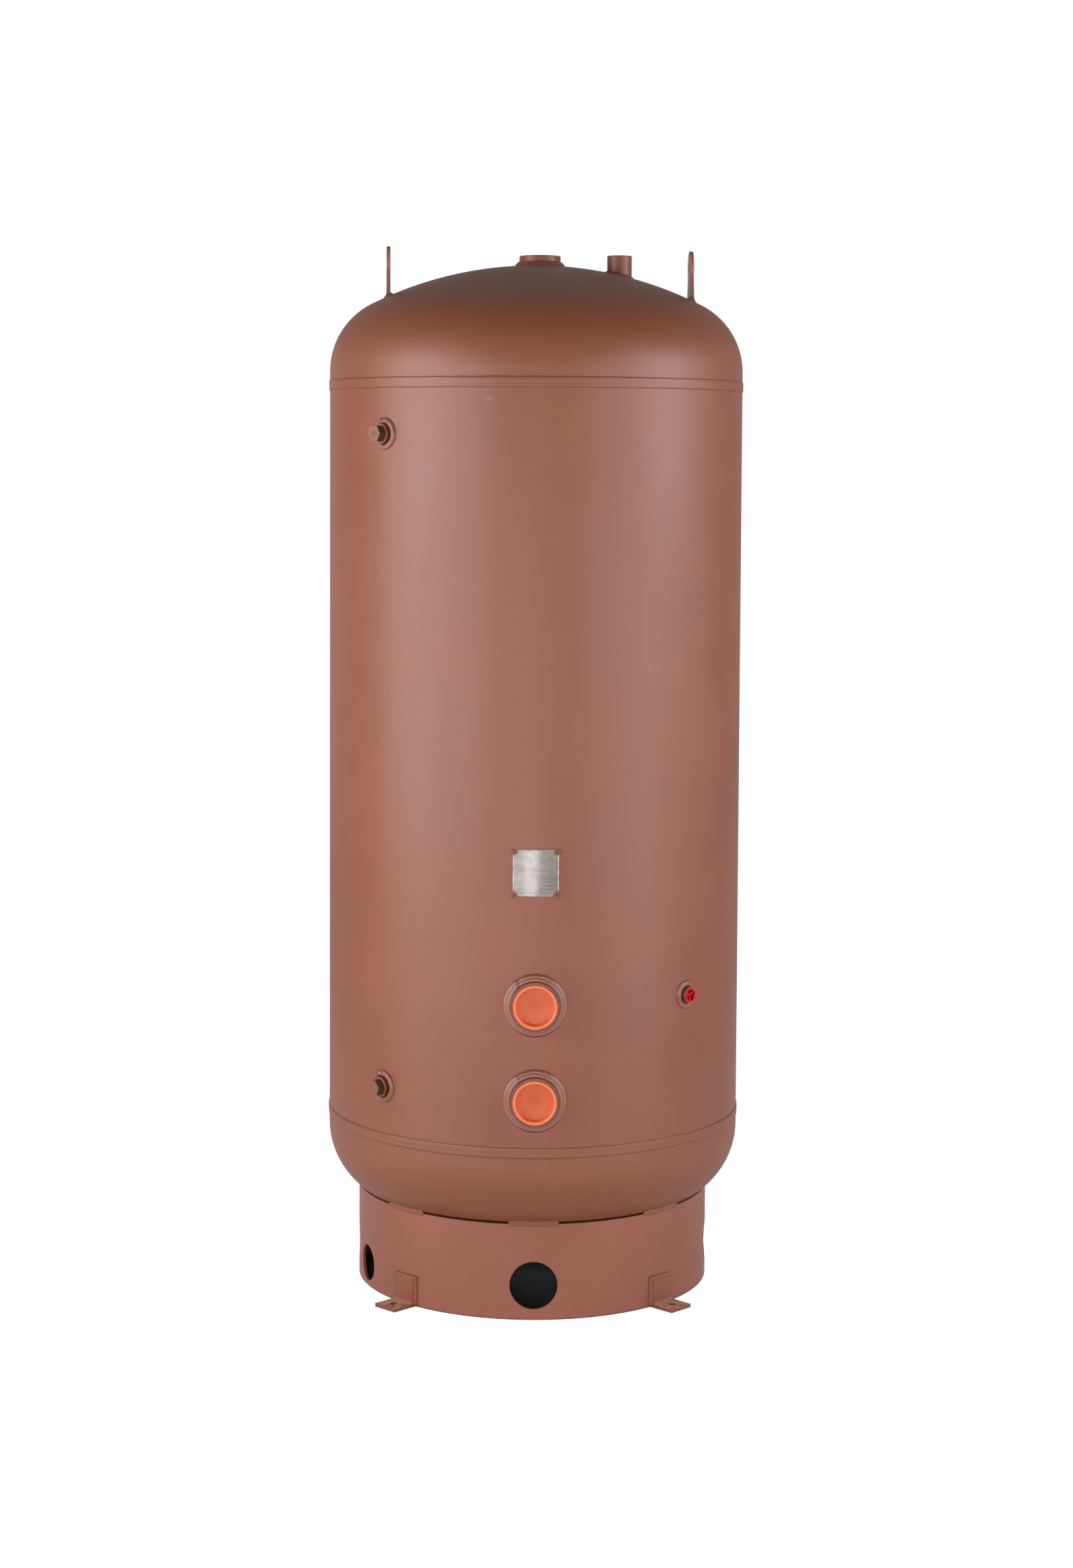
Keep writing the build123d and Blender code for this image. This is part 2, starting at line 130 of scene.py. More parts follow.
def spread(tree, value, low, high, to_low=0.0, to_high=1.0, kind="SMOOTHSTEP"):
    """A value eased from one range to another, and held at its ends."""
    settings = {"Value": value, "From Min": low, "From Max": high, "To Min": to_low, "To Max": to_high}
    return add_node(tree, "ShaderNodeMapRange", settings, interpolation_type=kind).outputs["Result"]


def clouds(tree, place, scale, detail=2.0, roughness=0.5):
    """Noise between 0 and 1 over a place."""
    settings = {"Vector": place, "Scale": scale, "Detail": detail, "Roughness": roughness}
    return add_node(tree, "ShaderNodeTexNoise", settings).outputs["Fac"]


def ragged(tree, place, scale, amount, value, detail=3.0, roughness=0.5):
    """A value made uneven by noise."""
    uneven = calc(tree, "SUBTRACT", clouds(tree, place, scale, detail, roughness), 0.5)
    return calc(tree, "MULTIPLY_ADD", uneven, amount, value)


def blend_colour(tree, amount, first, second):
    """Mix of two colours by a mask."""
    return add_node(tree, "ShaderNodeMix", {0: amount, 6: first, 7: second}, data_type="RGBA").outputs[2]


def tinted(tree, place, colour, tints):
    """Colour under tints. Each tint is a mask maker and the colour that the mask brings in."""
    for mask, tint in tints:
        colour = blend_colour(tree, mask(tree, place), colour, tint)
    return colour


def bump(tree, height, distance, strength):
    """Normal from a height."""
    values = {"Height": height, "Distance": distance, "Strength": strength}
    return add_node(tree, "ShaderNodeBump", values).outputs["Normal"]


def new_material(name):
    """Material with its tree, its shader and its Object coordinates."""
    material = bpy.data.materials.new(name)
    material.use_nodes = True
    tree = material.node_tree
    place = add_node(tree, "ShaderNodeTexCoord").outputs["Object"]
    return material, tree, tree.nodes["Principled BSDF"], place


def primer(name, tints=(), peel=0.00005, thick=oxide_thick, thin=oxide_thin, matt=0.39):
    """Red oxide primer on steel, thicker and thinner in clouds, with a fine grain and orange peel."""
    material, tree, shader, place = new_material(name)
    cloud = spread(tree, clouds(tree, place, 3.1, 4.0, 0.62), 0.32, 0.68)
    colour = blend_colour(tree, cloud, thick, thin)
    grain = clouds(tree, place, 520.0, 2.0, 0.6)
    colour = blend_colour(tree, spread(tree, grain, 0.36, 0.70, 0.0, 0.42), colour, oxide_grain)
    height = calc(tree, "MULTIPLY_ADD", clouds(tree, place, 210.0, 1.0), 0.6, grain)
    values = {
        "Base Color": tinted(tree, place, colour, tints),
        "Roughness": spread(tree, cloud, 0.0, 1.0, matt, matt + 0.07, "LINEAR"),
        "Specular IOR Level": 0.62,
        "Normal": bump(tree, height, peel, 0.6),
    }
    feed(tree, shader, values)
    return material


def dress(name, *materials):
    """Give a CAD node its finished materials."""
    mesh = nodes[name].data
    mesh.materials.clear()
    for material in materials:
        mesh.materials.append(material)


def on_shell(azimuth, height, out=0.0):
    """Point of the shell's surface at an azimuth in degrees from the front towards +X."""
    a = math.radians(azimuth)
    return Vector(((tank_r + out) * math.sin(a), -(tank_r + out) * math.cos(a), height))


def spot(centre, inner, outer, amount, stretch=(1.0, 1.0, 1.0), uneven=0.0):
    """Mask maker for a round mark with a soft, ragged edge."""

    def mask(tree, place):
        away = vector_calc(tree, "MULTIPLY", vector_calc(tree, "SUBTRACT", place, centre), stretch)
        reach = ragged(tree, place, 140.0, uneven, vector_calc(tree, "LENGTH", away))
        return spread(tree, reach, inner, outer, amount, 0.0)

    return mask


def round_tank(tree, place):
    """Azimuth in radians from the front, and height, of a place."""
    x, y, z = add_node(tree, "ShaderNodeSeparateXYZ", {0: place}).outputs
    return calc(tree, "ARCTAN2", x, calc(tree, "MULTIPLY", y, -1.0)), z


def label_ghost(tree, place):
    """Paler patch with soft, straight sides."""
    turn, height = round_tank(tree, place)
    along = calc(tree, "MULTIPLY", calc(tree, "SUBTRACT", turn, math.radians(36.5)), tank_r)
    across = calc(tree, "SUBTRACT", height, 1.1585)
    side = spread(tree, calc(tree, "ABSOLUTE", along), 0.0385, 0.0415, 1.0, 0.0)
    top = spread(tree, calc(tree, "ABSOLUTE", across), 0.0290, 0.0320, 1.0, 0.0)
    worn = spread(tree, clouds(tree, place, 60.0, 3.0), 0.35, 0.6, 0.25, 0.6)
    return calc(tree, "MULTIPLY", calc(tree, "MULTIPLY", side, top), worn)


rubbed_patch = spot(on_shell(-13, 1.627), 0.004, 0.013, 0.5, (1.0, 1.0, 1.7), 0.012)
round_stain = spot(on_shell(-31, 1.319), 0.013, 0.021, 0.35, uneven=0.006)
shell_marks = [
    (rubbed_patch, (0.36, 0.13, 0.09, 1)),
    (round_stain, (0.20, 0.052, 0.028, 1)),
    (label_ghost, (0.300, 0.094, 0.056, 1)),
]
dress("shell", primer("shell_primer", shell_marks))


# HEADS
# Dished plates in the same primer, with painted shade that darkens and warms their crowns, where little
# light falls. The bottom one is painted with the base ring below, whose gap it closes.
crown_shade_colour = (0.245, 0.064, 0.026, 1)


def crown(tree, place):
    """Mask of painted shade that comes in towards the middle of either head."""
    height = height_of(tree, place)
    over = spread(tree, height, top_seam + 0.045, top_seam + 0.110, 0.0, 0.85)
    under = spread(tree, height, bottom_seam - 0.100, bottom_seam - 0.035, 0.75, 0.0)
    return calc(tree, "MAXIMUM", over, under)


# The crown tint is painted shade.
dress("top_head", primer("head_primer", [(crown, crown_shade_colour)]))


# GIRTH WELDS
# Machine-laid seams that join the heads to the shell: a low, broad bead with wavering toes, darkened
# along them as painted shade of the crease, and a faint groove below its middle.
girth_half = 0.00975


def start_tree(name, labels):
    """Geometry node tree that takes a mesh, named numbers and a material, and its group inputs."""
    tree = bpy.data.node_groups.new(name, "GeometryNodeTree")
    inputs = [("Geometry", "Geometry")] + [(label, "Float") for label in labels]
    for label, kind in inputs + [("Material", "Material")]:
        tree.interface.new_socket(label, in_out="INPUT", socket_type="NodeSocket" + kind)
    tree.interface.new_socket("Geometry", in_out="OUTPUT", socket_type="NodeSocketGeometry")
    return tree, add_node(tree, "NodeGroupInput").outputs


def attribute(tree, name, kind="FLOAT"):
    """Value that each point of the mesh carries."""
    made = add_node(tree, "GeometryNodeInputNamedAttribute", {"Name": name}, data_type=kind)
    return made.outputs["Attribute"]


def scaled(tree, vector, amount):
    """Vector made longer or shorter."""
    return add_node(tree, "ShaderNodeVectorMath", {0: vector, "Scale": amount}, operation="SCALE").outputs[0]


def end_tree(tree, given, offset):
    """Move the mesh by an offset, make it real and give it its material."""
    geometry = given["Geometry"]
    for kind, values in (
        ("GeometryNodeSetPosition", {"Offset": offset}),
        ("GeometryNodeRealizeInstances", {}),
        ("GeometryNodeSetMaterial", {"Material": given["Material"]}),
    ):
        geometry = add_node(tree, kind, {"Geometry": geometry, **values}).outputs[0]
    add_node(tree, "NodeGroupOutput", {"Geometry": geometry})
    return tree


def weld_tree():
    """Node tree that turns a plain bead into a laid one, with ripples, lumps and uneven toes."""
    labels = ["Ripple Length", "Ripple Height", "Chevron", "Groove At", "Groove Width", "Groove Depth"]
    labels += ["Wander", "Wander Length", "Lumps", "Lump Length", "Stop At", "Stop Length", "Stop Height"]
    tree, given = start_tree("weld_ripples", labels + ["Seed"])
    place = add_node(tree, "GeometryNodeInputPosition").outputs[0]

    def wave(length, shift, size):
        """Noise over the bead, between -size and size, that closes on itself round a ring."""
        values = {
            "Vector": place,
            "W": calc(tree, "MULTIPLY_ADD", given["Seed"], 7.31, shift),
            "Scale": calc(tree, "DIVIDE", 1.0, length),
            "Detail": 2.0,
        }
        noise_node = add_node(tree, "ShaderNodeTexNoise", values, noise_dimensions="4D")
        centred = calc(tree, "SUBTRACT", noise_node.outputs["Fac"], 0.5)
        return calc(tree, "MULTIPLY", calc(tree, "MULTIPLY", centred, 2.6), size)

    along = attribute(tree, "along")
    across = attribute(tree, "across")
    reach = calc(tree, "ABSOLUTE", across)
    front = calc(tree, "LESS_THAN", reach, 1.001)
    arch = calc(tree, "SUBTRACT", 1.0, calc(tree, "POWER", reach, 4.0))
    arch = calc(tree, "MULTIPLY", arch, front)
    lag = calc(tree, "MULTIPLY", given["Chevron"], calc(tree, "POWER", reach, 2.0))
    steps = calc(tree, "DIVIDE", calc(tree, "SUBTRACT", along, lag), given["Ripple Length"])
    steps = calc(tree, "ADD", steps, wave(calc(tree, "MULTIPLY", given["Ripple Length"], 6.0), 3.7, 0.8))
    saw = calc(tree, "SUBTRACT", calc(tree, "MULTIPLY", calc(tree, "FRACT", steps), 2.0), 1.0)
    ripple = calc(tree, "SUBTRACT", 0.35, calc(tree, "POWER", calc(tree, "ABSOLUTE", saw), 2.2))
    ripple = calc(tree, "MULTIPLY", ripple, given["Ripple Height"])
    lumps = wave(given["Lump Length"], 23.0, given["Lumps"])
    groove = calc(tree, "ABSOLUTE", calc(tree, "SUBTRACT", across, given["Groove At"]))
    groove = spread(tree, groove, 0.0, given["Groove Width"], 1.0, 0.0)
    groove = calc(tree, "MULTIPLY", groove, given["Groove Depth"])
    stop = calc(tree, "ABSOLUTE", calc(tree, "SUBTRACT", along, given["Stop At"]))
    stop = spread(tree, stop, 0.0, given["Stop Length"], 1.0, 0.0)
    stop = calc(tree, "MULTIPLY", stop, given["Stop Height"])
    height = calc(tree, "ADD", calc(tree, "ADD", ripple, lumps), calc(tree, "SUBTRACT", stop, groove))
    height = calc(tree, "MULTIPLY", height, arch)
    upper = wave(given["Wander Length"], 0.0, given["Wander"])
    lower = wave(given["Wander Length"], 51.0, given["Wander"])
    is_upper = calc(tree, "GREATER_THAN", across, 0.0)
    is_lower = calc(tree, "SUBTRACT", 1.0, is_upper)
    shift = calc(tree, "MULTIPLY_ADD", upper, is_upper, calc(tree, "MULTIPLY", lower, is_lower))
    near_toe = calc(tree, "MULTIPLY", calc(tree, "POWER", reach, 2.0), front)
    raised = scaled(tree, attribute(tree, "out", "FLOAT_VECTOR"), height)
    shifted = scaled(tree, attribute(tree, "side", "FLOAT_VECTOR"), calc(tree, "MULTIPLY", shift, near_toe))
    return end_tree(tree, given, vector_calc(tree, "ADD", raised, shifted))


weld_ripples = weld_tree()


def grown(name, base, tree, settings):
    """Object with the plain mesh that a node tree makes from a base mesh."""
    piece = bpy.data.objects.new(name, base)
    bpy.context.scene.collection.objects.link(piece)
    modifier = piece.modifiers.new("grow", "NODES")
    modifier.node_group = tree
    for item in tree.interface.items_tree:
        if item.in_out == "INPUT" and item.name in settings:
            modifier[item.identifier] = settings[item.name]
    depsgraph = bpy.context.evaluated_depsgraph_get()
    mesh = bpy.data.meshes.new_from_object(
        piece.evaluated_get(depsgraph), preserve_all_data_layers=True, depsgraph=depsgraph
    )
    piece.modifiers.clear()
    piece.data = mesh
    mesh.name = name
    mesh.shade_smooth()
    return piece


def toe_shade_lines(depth, reach=0.80):
    """Mask maker for painted shade: a dark line along both toes of a bead, where it meets the plate, broken
    here and there.
    """

    def mask(tree, place):
        across = add_node(tree, "ShaderNodeAttribute", attribute_name="across").outputs["Fac"]
        edge = ragged(tree, place, 90.0, 0.16, calc(tree, "ABSOLUTE", across))
        return spread(tree, edge, reach, 0.97, 0.0, depth)

    return mask


def bead_mesh(name, runs, rises, closed, sink=0.00025):
    """Closed bead along each run of sections, which carries what the node tree reads. A section is
    its two toes, the root under them, a distance along and a scale that closes it on its root."""
    points, marks, faces = [], [], []
    width = len(rises) + 2
    for sections in runs:
        first = len(points)
        for low, high, root, along, scale in sections:
            side = (high - low).normalized()
            middle = (low + high) / 2 - root
            out = (middle - side * middle.dot(side)).normalized()
            ring = [
                (low.lerp(high, (across + 1) / 2) + out * (rise - sink), across)
                for across, rise in rises
            ]
            ring.append((root + (high - root) * 0.3, 2.0))
            ring.append((root + (low - root) * 0.3, 2.0))
            for point, across in ring:
                points.append(root + (point - root) * scale)
                marks.append((along, across, out, side))
        count = len(sections)
        for i in range(count if closed else count - 1):
            a, b = first + i * width, first + (i + 1) % count * width
            for j in range(width):
                k = (j + 1) % width
                faces.append((a + j, b + j, b + k, a + k))
        if not closed:
            last = first + (count - 1) * width
            faces.append(tuple(range(first, first + width)))
            faces.append(tuple(reversed(range(last, last + width))))
    mesh = bpy.data.meshes.new(name)
    mesh.from_pydata(points, [], faces)
    for index, (label, kind) in enumerate(
        (("along", "FLOAT"), ("across", "FLOAT"), ("out", "FLOAT_VECTOR"), ("side", "FLOAT_VECTOR"))
    ):
        layer = mesh.attributes.new(label, kind, "POINT").data
        for i, mark in enumerate(marks):
            if kind == "FLOAT":
                layer[i].value = mark[index]
            else:
                layer[i].vector = mark[index]
    outward(mesh)
    return mesh


def outward(mesh):
    """Turn the faces of a closed mesh so that it holds a positive volume."""
    corners = [v.co for v in mesh.vertices]
    volume = 0.0
    for face in mesh.polygons:
        v = face.vertices
        for i in range(1, len(v) - 1):
            volume += corners[v[0]].dot(corners[v[i]].cross(corners[v[i + 1]]))
    if volume < 0:
        mesh.flip_normals()


def rounded(count, rise, flat=5.0):
    """Across shares and rises of a convex bead, closer together towards its toes."""
    rows = []
    for i in range(count):
        across = math.sin(math.pi / 2 * (2 * i / (count - 1) - 1))
        rows.append((across, rise * (1 - abs(across) ** flat)))
    return rows


def even(sections, pitch):
    """Ripple length near a pitch that closes on itself round a ring."""
    length = sections[-1][3]
    return length / round(length / pitch)


def lay(name, runs, rises, material, replaces, closed=True, **settings):
    """Weld bead laid by the node tree, in place of its CAD node."""
    values = {
        "Ripple Length": 0.004,
        "Ripple Height": 0.0,
        "Chevron": 0.004,
        "Groove At": 0.0,
        "Groove Width": 0.2,
        "Groove Depth": 0.0,
        "Wander": 0.0005,
        "Wander Length": 0.02,
        "Lumps": 0.0002,
        "Lump Length": 0.006,
        "Stop At": -1.0,
        "Stop Length": 0.006,
        "Stop Height": 0.0,
        "Material": material,
    }
    values.update({key.replace("_", " ").title(): value for key, value in settings.items()})
    piece = grown(name, bead_mesh(name, runs, rises, closed), weld_ripples, values)
    piece.data.materials.clear()
    piece.data.materials.append(material)
    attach(piece, "root")
    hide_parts(replaces)


# The dark toe lines are painted crease shade.
girth_primer = primer("girth_primer", [(toe_shade_lines(0.80, 0.64), (0.170, 0.044, 0.020, 1))])
girth_rises = [(-1.0, 0.0), (-0.965, 0.0005), (-0.93, 0.0010), (-0.86, 0.0013), (-0.70, 0.0015)]
girth_rises += [(-0.40, 0.0016), (-0.27, 0.0016), (0.0, 0.0017), (0.35, 0.0017), (0.70, 0.0016)]
girth_rises += [(0.86, 0.0014), (0.93, 0.0011), (0.965, 0.0006), (1.0, 0.0)]
girth_steps = 2200
girth_ripples = 532
for name, level, seed in (("top_girth", top_seam, 3.0), ("bottom_girth", bottom_seam, 8.0)):
    sections = []
    for i in range(girth_steps):
        azimuth = 180 + 360 * i / girth_steps
        along = math.radians(azimuth - 180) * tank_r
        low = on_shell(azimuth, level - girth_half)
        high = on_shell(azimuth, level + girth_half)
        sections.append((low, high, on_shell(azimuth, level, -0.0020), along, 1.0))
    lay(
        name + "_bead",
        [sections],
        girth_rises,
        girth_primer,
        name + "_weld",
        ripple_length=2 * math.pi * tank_r / girth_ripples,
        ripple_height=0.00008,
        chevron=0.006,
        groove_at=-0.27,
        groove_width=0.13,
        groove_depth=0.00022,
        wander=0.0009,
        wander_length=0.021,
        lumps=0.00010,
        lump_length=0.009,
        stop_at=math.radians(24) * tank_r,
        stop_length=0.012,
        stop_height=0.0006,
        seed=seed,
    )


# LONG SEAM
# The same machine bead down the back, where the rolled plate closes.
seam_half = 0.0065
seam_low = bottom_seam + girth_half
seam_high = top_seam - girth_half
seam_steps = 1300
sections = []
for i in range(seam_steps + 1):
    level = seam_low + (seam_high - seam_low) * i / seam_steps
    swing = math.degrees(seam_half / tank_r)
    low = on_shell(180 - swing, level)
    high = on_shell(180 + swing, level)
    sections.append((low, high, on_shell(180, level, -0.0020), level, 1.0))
lay(
    "long_seam_bead",
    [sections],
    rounded(12, 0.0013, 6.0),
    girth_primer,
    "long_seam_weld",
    closed=False,
    ripple_length=0.0045,
    ripple_height=0.00010,
    chevron=0.005,
    wander=0.0007,
    wander_length=0.02,
    lumps=0.0001,
    lump_length=0.009,
    seed=5.0,
)


# BASE RING
# Rolled plate on which the tank stands, tied to the bottom head by short beads, with an open gap
# between them, whose shade is painted on the head. Pipe holes are burned through it, so their edges are a
# little scorched and rough.
ring_r = 0.325
ring_top = 0.172
bottom_tangent = 0.285853
crown_radius = 0.676
knuckle_radius = 0.137
knuckle_r = tank_r - knuckle_radius
crown_drop = math.sqrt((crown_radius - knuckle_radius) ** 2 - knuckle_r**2)
crown_edge = crown_radius * knuckle_r / (crown_radius - knuckle_radius)
pipe_hole_r = 0.0425
pipe_holes = [(azimuth, 0.062, pipe_hole_r) for azimuth in (0, 86, 180, -90)]
pipe_holes.append((-69, 0.042, 0.0325))
scorched = (0.20, 0.052, 0.026, 1)
darker_foot = (0.16, 0.052, 0.032, 1)


def head_rise(radius):
    """Height of a head's surface above its tangent line, at a distance from the axis."""
    if radius <= crown_edge:
        return math.sqrt(crown_radius**2 - radius**2) - crown_drop
    return math.sqrt(knuckle_radius**2 - (radius - knuckle_r) ** 2)


def hole_edges(tree, place):
    """Scorched, uneven band round each hole of the ring."""
    turn, height = round_tank(tree, place)
    near = None
    for azimuth, level, radius in pipe_holes:
        gap = calc(tree, "ABSOLUTE", calc(tree, "SUBTRACT", turn, math.radians(azimuth)))
        gap = calc(tree, "MINIMUM", gap, calc(tree, "SUBTRACT", 2 * math.pi, gap))
        gap = calc(tree, "MULTIPLY", gap, ring_r)
        rise = calc(tree, "SUBTRACT", height, level)
        away = calc(tree, "MULTIPLY_ADD", gap, gap, calc(tree, "MULTIPLY", rise, rise))
        away = calc(tree, "SUBTRACT", calc(tree, "SQRT", away), radius)
        near = away if near is None else calc(tree, "MINIMUM", near, away)
    return spread(tree, ragged(tree, place, 150.0, 0.003, near), 0.0, 0.0022, 0.75, 0.0)


def ring_foot(tree, place):
    """Lower edge, darker towards the floor."""
    height = ragged(tree, place, 70.0, 0.012, height_of(tree, place), 4.0, 0.65)
    return spread(tree, height, 0.0005, 0.005, 0.7, 0.0)


def gap_shade(tree, place):
    """Painted shade: the head inside the ring, darkened nearly to black, which shows as a dark line in the
    gap above it.
    """
    away = vector_calc(tree, "LENGTH", vector_calc(tree, "MULTIPLY", place, (1.0, 1.0, 0.0)))
    return spread(tree, away, ring_r + 0.0016, ring_r + 0.0024, 0.96, 0.0)


ring_speck = spot(Vector((-0.2722, -0.1776, 0.0320)), 0.0008, 0.0018, 0.9)
ring_marks = [(hole_edges, scorched), (ring_foot, darker_foot), (ring_speck, (0.07, 0.02, 0.012, 1))]
dress(
    "base_ring",
    primer("ring_primer", ring_marks, thick=(0.300, 0.094, 0.057, 1), thin=(0.338, 0.108, 0.066, 1)),
)
bottom_marks = [(crown, crown_shade_colour), (gap_shade, (0.012, 0.006, 0.004, 1))]
dress("bottom_head", primer("bottom_head_primer", bottom_marks))
# The dark toe lines of these beads are painted crease shade.
weld_primer = primer("weld_primer", [(toe_shade_lines(0.60), (0.140, 0.038, 0.019, 1))], peel=0.00008)
stitch_count = 8
stitch_length = 0.090
stitch_steps = 90
stitches = []
for k in range(stitch_count):
    sections = []
    for i in range(stitch_steps + 1):
        share = i / stitch_steps
        a = math.radians(45 * k) + (share - 0.5) * stitch_length / ring_r
        end = min(1.0, min(share, 1 - share) * stitch_length / 0.004)
        scale = 0.04 + 0.96 * math.sqrt(1 - (1 - end) ** 2)
        facing = Vector((math.sin(a), -math.cos(a), 0))
        reach = ring_r + 0.0040
        low = facing * ring_r + Vector((0, 0, ring_top - 0.0042))
        high = facing * reach + Vector((0, 0, bottom_tangent - head_rise(reach)))
        root = facing * (ring_r - 0.0010) + Vector((0, 0, ring_top + 0.0006))
        sections.append((low, high, root, a * ring_r, scale))
    stitches.append(sections)
lay(
    "ring_stitch_beads",
    stitches,
    rounded(13, 0.0013, 4.0),
    weld_primer,
    "ring_stitch_welds",
    closed=False,
    ripple_length=0.0035,
    ripple_height=0.00030,
    chevron=0.003,
    groove_at=0.15,
    groove_width=0.30,
    groove_depth=0.00050,
    wander=0.0010,
    wander_length=0.009,
    lumps=0.00090,
    lump_length=0.011,
    seed=2.0,
)


# ANCHOR CLIPS
# Short pieces of angle with an anchor bolt hole. Each is welded by hand over its top and down one
# side, in lumpy beads that grow where the welder turned the corner.


def dusty(tree, place):
    """Pale dust and worn primer on the clips' upper faces."""
    up = height_of(tree, add_node(tree, "ShaderNodeNewGeometry").outputs["Normal"])
    patchy = spread(tree, clouds(tree, place, 55.0, 4.0, 0.65), 0.36, 0.60, 0.25, 0.85)
    return calc(tree, "MULTIPLY", spread(tree, up, 0.75, 0.95), patchy)


clip_primer = primer("clip_primer", [(ring_foot, darker_foot), (dusty, (0.62, 0.40, 0.29, 1))])
clip_half = 0.0254
clip_leg = 0.0508
clip_bead_leg = 0.0050
clip_bead_bite = 0.0012
clip_path = [(-clip_half + 2 * clip_half * i / 40, clip_leg, 90) for i in range(41)]
clip_path += [(clip_half, clip_leg, 90 - 90 * i / 12) for i in range(1, 12)]
clip_path += [(clip_half, clip_leg - (clip_leg - 0.0015) * i / 40, 0) for i in range(41)]


def ring_bend(x):
    """Distance by which the ring's face falls behind its middle, beside a clip."""
    return math.sqrt(ring_r**2 - x**2) - ring_r


for corner, azimuth, seed in (
    ("front_left", -45, 11.0),
    ("front_right", 45, 14.0),
    ("back_left", -135, 17.0),
    ("back_right", 135, 21.0),
):
    dress("anchor_clip_" + corner, clip_primer)
    a = math.radians(azimuth)
    turn = 1 if (azimuth > 0) == (abs(azimuth) < 90) else -1
    facing = Vector((math.sin(a), -math.cos(a), 0))
    sideways = Vector((-math.cos(a), -math.sin(a), 0)) * turn
    clip_frame = Matrix((sideways, facing, (0, 0, 1))).transposed().to_4x4()
    clip_frame.translation = facing * ring_r
    sections = []
    along = 0.0
    for i, (x, z, lean) in enumerate(clip_path):
        if i:
            step = math.hypot(x - clip_path[i - 1][0], z - clip_path[i - 1][1])
            along += max(step, 0.0006)
        dx, dz = math.cos(math.radians(lean)), math.sin(math.radians(lean))
        toe_x = x + dx * clip_bead_leg
        low = Vector((x, clip_bead_leg, z))
        high = Vector((toe_x, ring_bend(toe_x), z + dz * clip_bead_leg))
        root = Vector((x - dx * clip_bead_bite, ring_bend(x) - clip_bead_bite, z - dz * clip_bead_bite))
        end = min(1.0, min(i, len(clip_path) - 1 - i) / 4)
        scale = 0.06 + 0.94 * math.sqrt(1 - (1 - end) ** 2)
        sections.append((clip_frame @ low, clip_frame @ high, clip_frame @ root, along, scale))
    rough = corner in ("front_left", "back_right")
    lay(
        "clip_bead_" + corner,
        [sections],
        rounded(13, 0.0014, 3.0),
        weld_primer,
        "anchor_clip_weld_" + corner,
        closed=False,
        ripple_length=0.0036,
        ripple_height=0.00035,
        chevron=0.0025,
        wander=0.0011 if rough else 0.0006,
        wander_length=0.007,
        lumps=0.0013 if rough else 0.0007,
        lump_length=0.0065,
        stop_at=2 * clip_half + 0.002,
        stop_length=0.009,
        stop_height=0.0016 if rough else 0.0009,
        seed=seed,
    )


# LIFTING LUGS
# Flame-cut plates that stand square across the line of the top fittings, each in a heavy fillet.
head_frame = Matrix.Translation((0.0057, 0, 0)) @ Matrix.Rotation(math.radians(1.6), 4, "Z")
top_tangent = 1.682853
lug_offset = 0.2795
lug_half = (0.003175, 0.0381)
lug_leg = 0.0070


def top_wall(x, y):
    """Height of the top head's surface over a point of the fittings' frame."""
    there = head_frame @ Vector((x, y, 0))
    return top_tangent + head_rise(math.hypot(there.x, there.y))


def collar(frame, wall, outline, foot, climb, bite=0.0012):
    """Sections of a fillet round a post. The outline's points come with their outward normals."""
    sections = []
    along = 0.0
    for i, (x, y, nx, ny) in enumerate(outline):
        if i:
            along += max(math.hypot(x - outline[i - 1][0], y - outline[i - 1][1]), 0.0003)
        level = wall(x, y)
        low = Vector((x + nx * foot, y + ny * foot, wall(x + nx * foot, y + ny * foot)))
        high = Vector((x, y, level + climb))
        root = Vector((x - nx * bite, y - ny * bite, level - bite))
        sections.append((frame @ low, frame @ high, frame @ root, along, 1.0))
    return sections


def round_outline(radius, steps, start=0.0):
    """Circle's points and normals, from a start angle in degrees."""
    made = []
    for i in range(steps):
        a = math.radians(start) + 2 * math.pi * i / steps
        made.append((radius * math.cos(a), radius * math.sin(a), math.cos(a), math.sin(a)))
    return made


def plate_outline(centre, half, spacing, corner_steps):
    """Points and normals round a rectangle, which turn at its corners."""
    corners = [(-1, -1), (1, -1), (1, 1), (-1, 1)]
    made = []
    for k, (sx, sy) in enumerate(corners):
        tx, ty = corners[(k + 1) % 4]
        start = (centre + sx * half[0], sy * half[1])
        end = (centre + tx * half[0], ty * half[1])
        length = math.hypot(end[0] - start[0], end[1] - start[1])
        normal = -90 + 90 * k
        for i in range(corner_steps):
            a = math.radians(normal - 90 + 90 * (i + 0.5) / corner_steps)
            made.append((start[0], start[1], math.cos(a), math.sin(a)))
        count = max(2, round(length / spacing))
        a = math.radians(normal)
        for i in range(count + 1):
            x = start[0] + (end[0] - start[0]) * i / count
            y = start[1] + (end[1] - start[1]) * i / count
            made.append((x, y, math.cos(a), math.sin(a)))
    return made


# The lugs' primer is lighter and pinker than the shell's: painted sheen, standing in for the lamps'
# reflection in their faces.
lug_sheen_primer = primer(
    "lug_sheen_primer", peel=0.00007, thick=(0.370, 0.140, 0.100, 1), thin=(0.410, 0.160, 0.115, 1)
)
for name, side, seed in (("left", -1, 31.0), ("right", 1, 37.0)):
    dress("lifting_lug_" + name, lug_sheen_primer)
    outline = plate_outline(side * lug_offset, lug_half, 0.0011, 10)
    lay(
        "lug_bead_" + name,
        [collar(head_frame, top_wall, outline, lug_leg, lug_leg)],
        rounded(15, -0.0010, 2.2),
        weld_primer,
        "lifting_lug_weld_" + name,
        ripple_length=0.0040,
        ripple_height=0.00025,
        chevron=0.0030,
        wander=0.0010,
        wander_length=0.011,
        lumps=0.0007,
        lump_length=0.010,
        stop_at=0.045,
        stop_length=0.010,
        stop_height=0.0008,
        seed=seed,
    )


# TOP COUPLINGS AND DRAIN
# Tapped half couplings, open at their mouths, so their pipe threads show. The primer thins out
# over the threads, where bare machined steel comes through.
thread_pitch = 0.00221
thread_length = 0.024
mouth_bevel = 0.0013
weld_pitch = 0.0036


